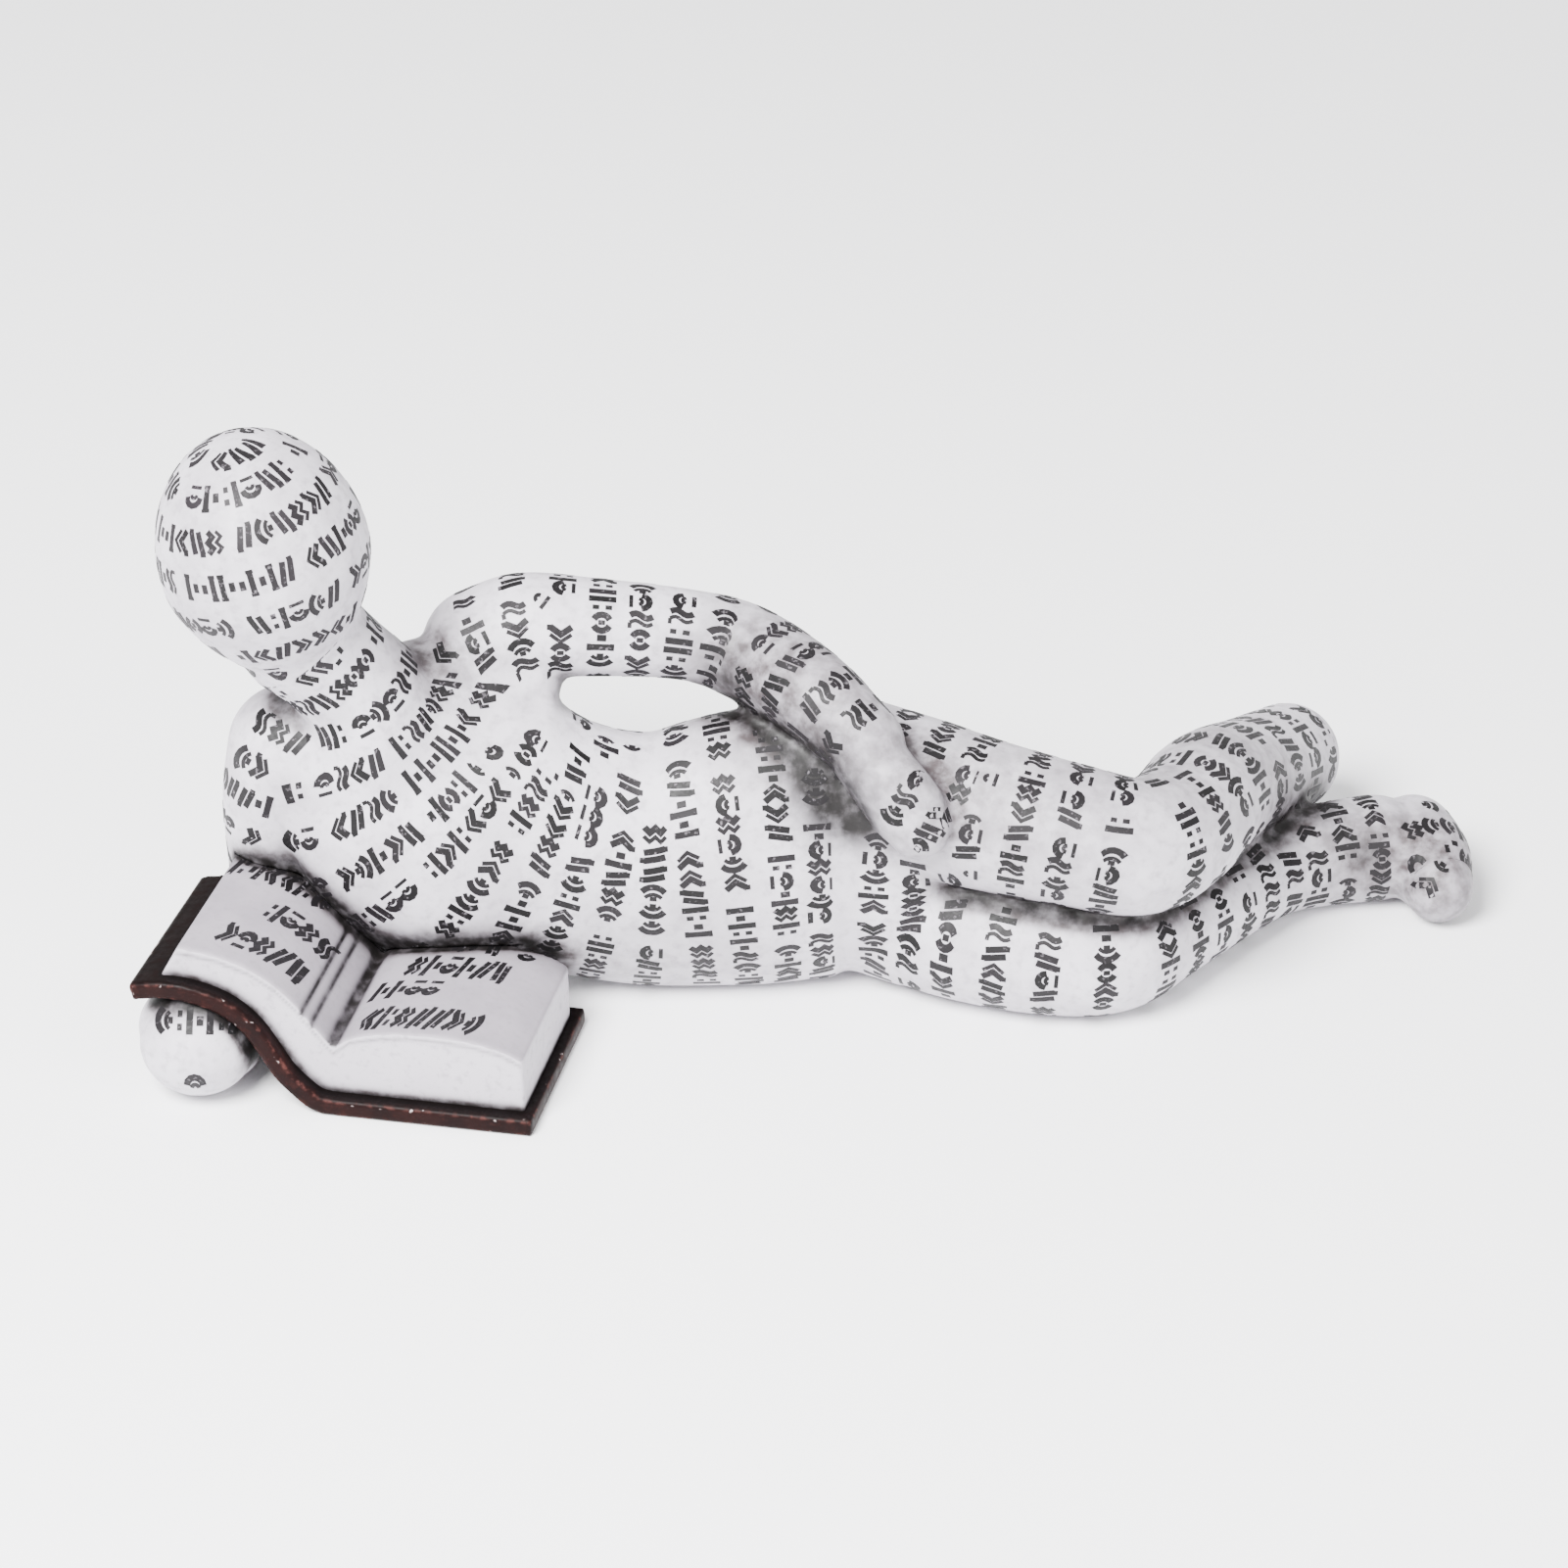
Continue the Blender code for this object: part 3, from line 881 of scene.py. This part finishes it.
def printed_rings(sheet, tree, field, rows, signs, taken, owner, slack, tones=(0.6, 1.0), tall=1.0):
    """Rows of signs in groups of four to seven, each row a ring round a limb."""
    point, _ = field
    for number, along in enumerate(rows):
        angles = np.linspace(0.0, 2.0 * math.pi, RING_ANGLES)
        ring = [point(along, a)[1] for a in angles]
        steps = [(q - p).length for p, q in zip(ring, ring[1:])]
        arc = np.concatenate(([0.0], np.cumsum(steps)))
        place = CHANCE.uniform(0.0, 12.0) * MM
        end = place + arc[-1] - SIGN_ADVANCE * MM
        while place < end:
            for _ in range(CHANCE.choice(GROUP_SIZES)):
                sign = CHANCE.choice(signs)
                tone = CHANCE.uniform(*tones)
                if place > end:
                    break
                middle = place + 0.5 * SIGN_ADVANCE * MM
                place += SIGN_ADVANCE * MM
                here = float(np.interp(middle % arc[-1], arc, angles))
                ahead, behind = point(along + MM, here)[1], point(along - MM, here)[1]
                spread = (ahead - behind).length / (2.0 * MM)
                if spread < CLOSEST_ROWS:
                    continue

                def locate(x, y):
                    turn = float(np.interp((middle + x * MM) % arc[-1], arc, angles))
                    return outer_hit(tree, *point(along - y * tall * MM / spread, turn), *slack)

                stamp(sheet, sign, locate, tone, taken, (owner, number))
            place += CHANCE.uniform(*GROUP_GAP) * MM


def printed_patch(sheet, tree, origin, right, up, rows, signs, taken, owner):
    """Straight rows of signs, seen along one direction. Each row is a height and two ends, in mm."""
    away = right.cross(up) * -1.0
    for number, (height, start, end) in enumerate(rows):
        place = start
        while place < end:
            sign = CHANCE.choice(signs)
            tone = CHANCE.uniform(0.6, 1.0)
            middle = place + 0.5 * SIGN_ADVANCE
            place += SIGN_ADVANCE

            def locate(x, y):
                start_at = origin + (right * (middle + x) + up * (height + y)) * MM
                spot, normal, _, _ = tree.ray_cast(start_at, away, PATCH_REACH)
                if spot is None or normal.dot(away) > -0.35 or spot.z < LOWEST_PRINT:
                    return None
                return spot, normal

            stamp(sheet, sign, locate, tone, taken, (owner, number), stretch=2.6)


def printed_page(sheet, tree, rows, signs, taken):
    """Rows of tall slanted signs across the pages."""
    down = Vector((0.0, 0.0, -1.0))
    for number, (along, start, end, height) in enumerate(rows):
        place = start
        tall = height / SIGN_HEIGHT
        while place + PAGE_SIGN_ADVANCE < end + 0.5:
            sign = CHANCE.choice(signs)
            tone = CHANCE.uniform(0.75, 1.0)
            middle = place + 0.5 * PAGE_SIGN_ADVANCE
            place += PAGE_SIGN_ADVANCE

            def locate(x, y):
                sideways = middle + x * PAGE_SIGN_WIDTH + y * tall * PAGE_SIGN_SLANT
                start_at = book_point(Vector((sideways, along + y * tall, ABOVE_BOOK)))
                spot, normal, _, _ = tree.ray_cast(start_at, down)
                if spot is None or normal.z < 0.3:
                    return None
                return spot, normal

            stamp(sheet, sign, locate, tone, taken, ("page", number), 0.4 * MM, 3.0)


def print_piece(name, sheet, finish):
    bmesh.ops.delete(sheet["bm"], geom=sheet["gone"], context="VERTS")
    mesh = new_mesh(name, sheet["bm"], flip=False)
    made = piece(name, mesh, finish)
    film = made.modifiers.new("film", "SOLIDIFY")
    film.thickness = FILM
    film.offset = -1.0


def across(size):
    """The scale of a noise whose patches are this many millimetres across."""
    return 1.0 / (size * MM)


def new_material(name):
    made = bpy.data.materials.new(name)
    made.use_nodes = True
    made.node_tree.nodes.clear()
    return made


NOISE = {"Roughness": 0.55}
SMOOTH = {"interpolation_type": "SMOOTHSTEP"}
MIDDLE = {"From_Min": 0.25, "From_Max": 0.75}
TINT = {"data_type": "RGBA"}
TIMES = {"operation": "MULTIPLY", "use_clamp": True}
PLUS = {"operation": "ADD", "use_clamp": True}


def washed_and_shaded(made, base, where, thin, deep):
    """The base colour under a brown-black wash that was wiped off, together with painted shade: a thin film
    where the surface is shut in or veiled, and black in the deep creases and pools.
    """
    crease = add(made, "Attribute", attribute_name="crease").outputs["Fac"]
    shade_and_wash_veil = add(made, "Attribute", attribute_name="shade_and_wash_veil").outputs["Fac"]
    shade_and_wash_pool = add(made, "Attribute", attribute_name="shade_and_wash_pool").outputs["Fac"]
    # The cloth left the wash, and with it the painted shade, in patches of about 2.6 mm.
    patchy = add(made, "TexNoise", **NOISE, Vector=where, Scale=across(2.6), Detail=4.0)
    shallow = add(made, "MapRange", **SMOOTH, Value=crease, From_Min=thin[0], From_Max=thin[1])
    shallow = add(made, "Math", **PLUS, Value=shallow, Value_001=shade_and_wash_veil)
    wiped = add(made, "MapRange", **SMOOTH, Value=patchy, From_Min=0.30, From_Max=0.70, To_Min=0.55)
    film = add(made, "Math", **TIMES, Value=shallow, Value_001=wiped)
    bottom = add(made, "MapRange", **SMOOTH, Value=crease, From_Min=deep[0], From_Max=deep[1])
    bottom = add(made, "Math", **PLUS, Value=bottom, Value_001=shade_and_wash_pool)
    broken = add(made, "MapRange", **SMOOTH, Value=patchy, From_Min=0.2, From_Max=0.6, To_Min=0.7)
    black = add(made, "Math", **TIMES, Value=bottom, Value_001=broken)
    # Painted shade and wash: a brown-grey veil, then near black in the creases and pools.
    veiled = add(made, "Mix", **TINT, Factor_Float=film, A_Color=base, B_Color="#40383A")
    return add(made, "Mix", **TINT, Factor_Float=black, A_Color=veiled, B_Color="#0B0808")


def cast_paint():
    """Matt off-white paint on cast resin. It scatters light evenly, so forms read softly, faintly lilac."""
    made = new_material("matt_paint_on_cast_resin")
    where = add(made, "TexCoord").outputs["Object"]
    # Coats differ over about 11 mm, brush and sponge marks over 1.6 mm.
    broad = add(made, "TexNoise", **NOISE, Vector=where, Scale=across(11.0), Detail=3.0)
    sponged = add(made, "TexNoise", **NOISE, Vector=where, Scale=across(1.6), Detail=4.0)
    # The tooth of real paint is under 0.1 mm and would not show, so it is drawn at 0.9 mm.
    tooth = add(made, "TexNoise", **NOISE, Vector=where, Scale=across(0.9), Detail=5.0)
    coats = add(made, "MapRange", **SMOOTH, Value=broad, From_Min=0.30, From_Max=0.70)
    base = add(made, "Mix", **TINT, Factor_Float=coats, A_Color="#C9C5CD", B_Color="#B3AEB6")
    grey = add(made, "MapRange", **SMOOTH, Value=sponged, From_Min=0.45, From_Max=0.76, To_Max=0.55)
    base = add(made, "Mix", **TINT, Factor_Float=grey, A_Color=base, B_Color="#938D95")
    # Painted shade, with the wash, in the creases and at the listed spots.
    colour = washed_and_shaded(made, base, where, (0.02, 0.24), (0.10, 0.36))
    dull = add(made, "MapRange", **SMOOTH, Value=sponged, To_Min=0.42, To_Max=0.60, **MIDDLE)
    relief = add(made, "Bump", Strength=0.22, Distance=0.12 * MM, Height=tooth)
    shader = add(made, "BsdfPrincipled", Base_Color=colour, Roughness=dull, Normal=relief, IOR=1.38)
    add(made, "OutputMaterial", Surface=shader)
    return made


def printed_ink():
    """Black ink printed on the paint and rubbed. It stays dark at every angle, and is grey where it wore."""
    made = new_material("rubbed_black_print")
    where = add(made, "TexCoord").outputs["Object"]
    tone = add(made, "Attribute", attribute_name="tone").outputs["Fac"]
    # Rubbed specks are about 0.7 mm across.
    specks = add(made, "TexNoise", **NOISE, Vector=where, Scale=across(0.7), Detail=4.0)
    base = add(made, "Mix", **TINT, Factor_Float=tone, A_Color="#262226", B_Color="#070607")
    rubbed = add(made, "MapRange", **SMOOTH, Value=specks, From_Min=0.58, From_Max=0.74, To_Max=0.5)
    colour = add(made, "Mix", **TINT, Factor_Float=rubbed, A_Color=base, B_Color="#857F86")
    dull = add(
        made, "MapRange", **SMOOTH,
        Value=specks, From_Min=0.30, From_Max=0.70, To_Min=0.45, To_Max=0.62,
    )
    shader = add(made, "BsdfPrincipled", Base_Color=colour, Roughness=dull, IOR=1.3)
    add(made, "OutputMaterial", Surface=shader)
    return made


def page_paint():
    """Matt paint on the page block. Pages are brushed, with painted shade that makes their upward faces greyer
    than the clean cut edges, and a gutter painted dark as shade.
    """
    made = new_material("matt_page_paint_on_cast_resin")
    where = add(made, "TexCoord").outputs["Object"]
    topside = add(made, "Attribute", attribute_name="topside").outputs["Fac"]
    # Patches of about 7 mm and brush marks of 1.2 mm. The tooth is under 0.1 mm and drawn at 0.8 mm, to show.
    broad = add(made, "TexNoise", **NOISE, Vector=where, Scale=across(7.0), Detail=3.0)
    brushed = add(made, "TexNoise", **NOISE, Vector=where, Scale=across(1.2), Detail=4.0)
    tooth = add(made, "TexNoise", **NOISE, Vector=where, Scale=across(0.8), Detail=4.0)
    # Painted shade: the upward-facing pages are made darker than the cut edges that face the front.
    top_face_shade = add(made, "MapRange", **SMOOTH, Value=topside, From_Min=0.20, From_Max=0.60)
    base = add(made, "Mix", **TINT, Factor_Float=top_face_shade, A_Color="#B2ADB5", B_Color="#857F87")
    patches = add(made, "MapRange", **SMOOTH, Value=broad, From_Min=0.30, From_Max=0.70, To_Max=0.3)
    base = add(made, "Mix", **TINT, Factor_Float=patches, A_Color=base, B_Color="#A39DA4")
    marks = add(made, "MapRange", **SMOOTH, Value=brushed, From_Min=0.50, From_Max=0.75, To_Max=0.4)
    base = add(made, "Mix", **TINT, Factor_Float=marks, A_Color=base, B_Color="#79737A")
    # Painted shade, with the wash, in the gutter, the leaf lines and the creases.
    colour = washed_and_shaded(made, base, where, (0.08, 0.34), (0.20, 0.48))
    dull = add(made, "MapRange", **SMOOTH, Value=brushed, To_Min=0.45, To_Max=0.62, **MIDDLE)
    relief = add(made, "Bump", Strength=0.20, Distance=0.10 * MM, Height=tooth)
    shader = add(made, "BsdfPrincipled", Base_Color=colour, Roughness=dull, Normal=relief, IOR=1.38)
    add(made, "OutputMaterial", Surface=shader)
    return made


def cover_paint():
    """Brushed red-brown paint on cast resin. Its upward margins and shut-in corners are painted near black as
    shade, worn arrises paler, with chips.
    """
    made = new_material("brushed_brown_paint_on_cast_resin")
    where = add(made, "TexCoord").outputs["Object"]
    topside = add(made, "Attribute", attribute_name="topside").outputs["Fac"]
    wear = add(made, "Attribute", attribute_name="wear").outputs["Fac"]
    crease = add(made, "Attribute", attribute_name="crease").outputs["Fac"]
    # Patches of about 6 mm, brush marks of 1.4 mm, chips up to 2 mm long.
    broad = add(made, "TexNoise", **NOISE, Vector=where, Scale=across(6.0), Detail=3.0)
    brushed = add(made, "TexNoise", **NOISE, Vector=where, Scale=across(1.4), Detail=5.0)
    flaked = add(made, "TexNoise", **NOISE, Vector=where, Scale=across(2.1), Detail=2.0)
    patches = add(made, "MapRange", **SMOOTH, Value=broad, From_Min=0.32, From_Max=0.68)
    base = add(made, "Mix", **TINT, Factor_Float=patches, A_Color="#180807", B_Color="#0F0505")
    marks = add(made, "MapRange", **SMOOTH, Value=brushed, From_Min=0.50, From_Max=0.72, To_Max=0.6)
    base = add(made, "Mix", **TINT, Factor_Float=marks, A_Color=base, B_Color="#25100E")
    arris = add(made, "MapRange", **SMOOTH, Value=wear, From_Min=0.55, From_Max=1.0)
    rubs = add(made, "MapRange", **SMOOTH, Value=brushed, From_Min=0.45, From_Max=0.66, To_Max=0.6)
    rubbed = add(made, "Math", **TIMES, Value=arris, Value_001=rubs)
    base = add(made, "Mix", **TINT, Factor_Float=rubbed, A_Color=base, B_Color="#55332F")
    edge = add(made, "MapRange", **SMOOTH, Value=wear, From_Min=0.50, From_Max=0.90)
    flakes = add(made, "MapRange", **SMOOTH, Value=flaked, From_Min=0.66, From_Max=0.69)
    chipped = add(made, "Math", **TIMES, Value=edge, Value_001=flakes)
    base = add(made, "Mix", **TINT, Factor_Float=chipped, A_Color=base, B_Color="#A99C9B")
    # Painted shade: shut-in corners and upward-facing margins turn near black.
    corner_shade = add(made, "MapRange", **SMOOTH, Value=crease, From_Min=0.08, From_Max=0.40)
    top_margin_shade = add(made, "MapRange", **SMOOTH, Value=topside, From_Min=0.5, From_Max=0.9, To_Max=0.8)
    black = add(made, "Math", **PLUS, Value=corner_shade, Value_001=top_margin_shade)
    colour = add(made, "Mix", **TINT, Factor_Float=black, A_Color=base, B_Color="#070404")
    dull = add(made, "MapRange", **SMOOTH, Value=brushed, To_Min=0.38, To_Max=0.58, **MIDDLE)
    relief = add(made, "Bump", Strength=0.30, Distance=0.15 * MM, Height=brushed)
    shader = add(made, "BsdfPrincipled", Base_Color=colour, Roughness=dull, Normal=relief, IOR=1.16)
    add(made, "OutputMaterial", Surface=shader)
    return made


def studio_paper():
    """White paper, smooth and matt, which gives an even pale ground."""
    made = new_material("white_studio_paper")
    where = add(made, "TexCoord").outputs["Object"]
    cloudy = add(made, "TexNoise", **NOISE, Vector=where, Scale=across(40.0), Detail=3.0)
    base = add(made, "Mix", **TINT, Factor_Float=cloudy, A_Color="#FBFBFC", B_Color="#F8F8FA")
    shader = add(made, "BsdfPrincipled", Base_Color=base, Roughness=0.9)
    add(made, "OutputMaterial", Surface=shader)
    return made


def tree_of(*meshes):
    """One search tree over the triangles of several meshes."""
    points = []
    faces = []
    for mesh in meshes:
        first = len(points)
        points += [v.co.copy() for v in mesh.vertices]
        faces += [[first + i for i in p.vertices] for p in mesh.polygons]
    return BVHTree.FromPolygons(points, faces)


def row_places(field, first, spare, pitch):
    """Where rows of print come along a limb: from a first place to a spare length before its end, in mm."""
    return [place * MM for place in np.arange(first, field[1] / MM - spare, pitch)]


skin = figure_skin()
cover_mesh, cover_arrises = fine_block("book_cover", cover_outline(), 0.0, BOARD_LENGTH, 0.5, 0.46)
pages_mesh, _ = fine_block("page_block", page_outline(), PAGE_MARGIN, PAGE_END, 0.25, 0.42)
point_values(cover_mesh, "wear", arris_values(cover_mesh, cover_arrises))
leaf_grooves(pages_mesh)
point_values(pages_mesh, "shade_and_wash_pool", page_darkening(pages_mesh))
set_in_place(cover_mesh)
set_in_place(pages_mesh)
# Painted shade, partly a wash: darker spots and black pools on the skin.
point_values(skin, "shade_and_wash_pool", spot_values(skin, SHADE_AND_WASH_POOLS))
point_values(skin, "shade_and_wash_veil", spot_values(skin, SHADE_AND_WASH_VEILS))
# How much each face looks up. The page and cover paints use it to paint upward faces darker, as shade.
for mesh in (cover_mesh, pages_mesh):
    point_values(mesh, "topside", [max(0.0, v.normal.z) for v in mesh.vertices])
# How shut-in each point is. The materials turn it into painted shade in creases and corners, on the skin and
# pages together with a wash.
everything = tree_of(skin, cover_mesh, pages_mesh)
ray_count = 16
for mesh, reach in ((skin, 10.0), (cover_mesh, 4.0), (pages_mesh, 5.0)):
    point_values(mesh, "crease", crease_values(mesh, everything, reach * MM, ray_count))
    mesh.shade_smooth()
piece("figure_skin", skin, cast_paint(), "figure")
piece("book_cover", cover_mesh, cover_paint(), "book")
piece("page_block", pages_mesh, page_paint())

signs = [sign_mesh(f"sign_{i}", strokes) for i, strokes in enumerate(SIGNS)]
light_signs = [sign_mesh(f"light_sign_{i}", strokes, 0.9) for i, strokes in enumerate(SIGNS)]
skin_tree = tree_of(skin)
taken = {}
body_print, limb_print, head_print, book_print = ({"bm": bmesh.new(), "gone": []} for _ in range(4))

# Rows round the trunk, then round each limb where the trunk's rows left room. Each limb has its first row,
# pitch and reach, in mm, and how much its signs are stretched along it.
spine = round_limb(PRINTED_SPINE)
rows = row_places(spine, 6.0, 0.0, 6.3)
printed_rings(body_print, skin_tree, spine, rows, signs, taken, "trunk", (7.0 * MM, 10.0 * MM))
for name, limb, first, pitch, reach, tall in (
    ("upper leg", UPPER_LEG[:6], 4.0, 6.2, 3.2, 1.0),
    ("lower leg", LOWER_LEG, 4.0, 6.2, 3.2, 1.0),
    ("left arm", LEFT_ARM, 1.5, 5.7, 2.4, 1.0),
    ("right arm", RIGHT_ARM, 0.0, 5.9, 3.0, 1.0),
    ("near foot", NEAR_FOOT, 1.0, 5.2, 2.6, 1.0),
    ("far shin", UPPER_LEG[5:], 4.0, 9.0, 2.5, 1.5),
):
    field = round_limb(limb)
    rows = row_places(field, first, 0.0, pitch)
    slack = (2.5 * MM, reach * MM)
    printed_rings(limb_print, skin_tree, field, rows, signs, taken, name, slack, tall=tall)
head = round_head()
rows = row_places(head, 5.0, 6.0, 6.2)
printed_rings(head_print, skin_tree, head, rows, light_signs, taken, "head", (MM, MM), (0.35, 0.9))
neck = round_limb(NECK)
rows = row_places(neck, 0.5, 12.0, 5.8)
slack = (2.5 * MM, 2.4 * MM)
printed_rings(head_print, skin_tree, neck, rows, light_signs, taken, "neck", slack, (0.4, 0.95))

# Rows on rounded ends and shoulders, which rings don't reach: seen from a point, with a right and an up way.
X = Vector((1.0, 0.0, 0.0))
Y = Vector((0.0, 1.0, 0.0))
Z = Vector((0.0, 0.0, 1.0))
UP_TO_VIEW = Vector((0.0, 0.5, 0.866))
SLOPING = X * 0.866 - UP_TO_VIEW * 0.5
UP_SLOPE = X * 0.5 + UP_TO_VIEW * 0.866
STEEP = X * 0.588 + UP_TO_VIEW * 0.809
UP_STEEP = X * -0.809 + UP_TO_VIEW * 0.588
SHIN_END = Vector((-0.82, 0.57, 0.0))
for name, origin, right, up, rows in (
    ("right hand", (-93.0, -50.0, 17.0), X, UP_TO_VIEW, [(-6.4, -7.6, 7.6), (3.0, -6.0, 6.0)]),
    ("left hand", (11.5, -40.0, 49.0), STEEP, UP_STEEP, [(-3.4, -5.0, 6.0), (2.4, -6.0, 6.0)]),
    ("right shoulder", (-82.2, -40.0, 64.7), SLOPING, UP_SLOPE, [
        (5.2, -8.0, 10.0), (-0.8, -9.0, 10.0), (-6.8, -9.0, 6.0), (-12.8, -8.0, 3.0),
    ]),
    ("left shoulder", (-54.3, -29.0, 75.2), STEEP, UP_STEEP, [
        (12.0, -9.0, 9.0), (6.0, -10.0, 10.0), (0.0, -10.0, 10.0), (-6.0, -10.0, 10.0),
    ]),
    ("near foot end", (92.0, -16.0, 24.0), STEEP, UP_STEEP, [
        (6.0, -8.0, 8.0), (0.0, -9.0, 9.0), (-6.0, -8.0, 8.0),
    ]),
    ("sole", (108.0, 18.0, 7.5), Y, Z, [(-3.4, -8.0, 12.0), (2.0, -8.0, 12.0)]),
    ("far shin end", (83.0, 52.0, 12.0), SHIN_END, Z, [(-3.4, -7.0, 7.0), (2.2, -7.0, 7.0)]),
):
    printed_patch(limb_print, skin_tree, Vector(origin) * MM, right, up, rows, signs, taken, name)
printed_page(book_print, tree_of(pages_mesh), PAGE_ROWS, signs, taken)
ink = printed_ink()
print_piece("body_print", body_print, ink)
print_piece("limb_print", limb_print, ink)
print_piece("head_print", head_print, ink)
print_piece("book_print", book_print, ink)

bm = bmesh.new()
bmesh.ops.create_grid(bm, x_segments=1, y_segments=1, size=3.0)
floor = loose_object("floor", new_mesh("floor", bm, flip=False))
floor.data.materials.append(studio_paper())

# The photograph: how wide it is in pixels, how many of them a millimetre covers, and where its camera stands.
PHOTO_WIDTH = 1601.0
PIXELS_PER_MM = 6.815
TARGET = Vector((-0.0073, 0.0, 0.0313))
DISTANCE = 0.9
LOOKING_DOWN = math.radians(30.0)
SENSOR = 36.0
camera = loose_object("camera", bpy.data.cameras.new("camera"))
camera.location = TARGET - DISTANCE * Vector((0.0, math.cos(LOOKING_DOWN), -math.sin(LOOKING_DOWN)))
camera.rotation_euler = (math.radians(90.0) - LOOKING_DOWN, 0.0, 0.0)
camera.data.lens = SENSOR * DISTANCE / MM / (PHOTO_WIDTH / PIXELS_PER_MM)
camera.data.sensor_width = SENSOR
bpy.context.scene.camera = camera

# Soft light from the upper left, a weak fill from the right, and a white surround. Size in m, power in W.
LIT_POINT = Vector((0.0, 0.0, 0.03))
for name, place, size, power in (
    ("key", (-0.35, -0.55, 0.75), 0.5, 46.0),
    ("fill", (0.6, -0.6, 0.45), 0.7, 6.0),
):
    lamp = bpy.data.lights.new(name, "AREA")
    lamp.shape = "DISK"
    lamp.size = size
    lamp.energy = power
    made = loose_object(name, lamp)
    made.location = place
    made.rotation_euler = (LIT_POINT - Vector(place)).to_track_quat("-Z", "Y").to_euler()

world = bpy.data.worlds.new("studio")
world.use_nodes = True
surround = world.node_tree.nodes["Background"]
surround.inputs["Color"].default_value = (1.0, 1.0, 1.0, 1.0)
surround.inputs["Strength"].default_value = 1.05
bpy.context.scene.world = world
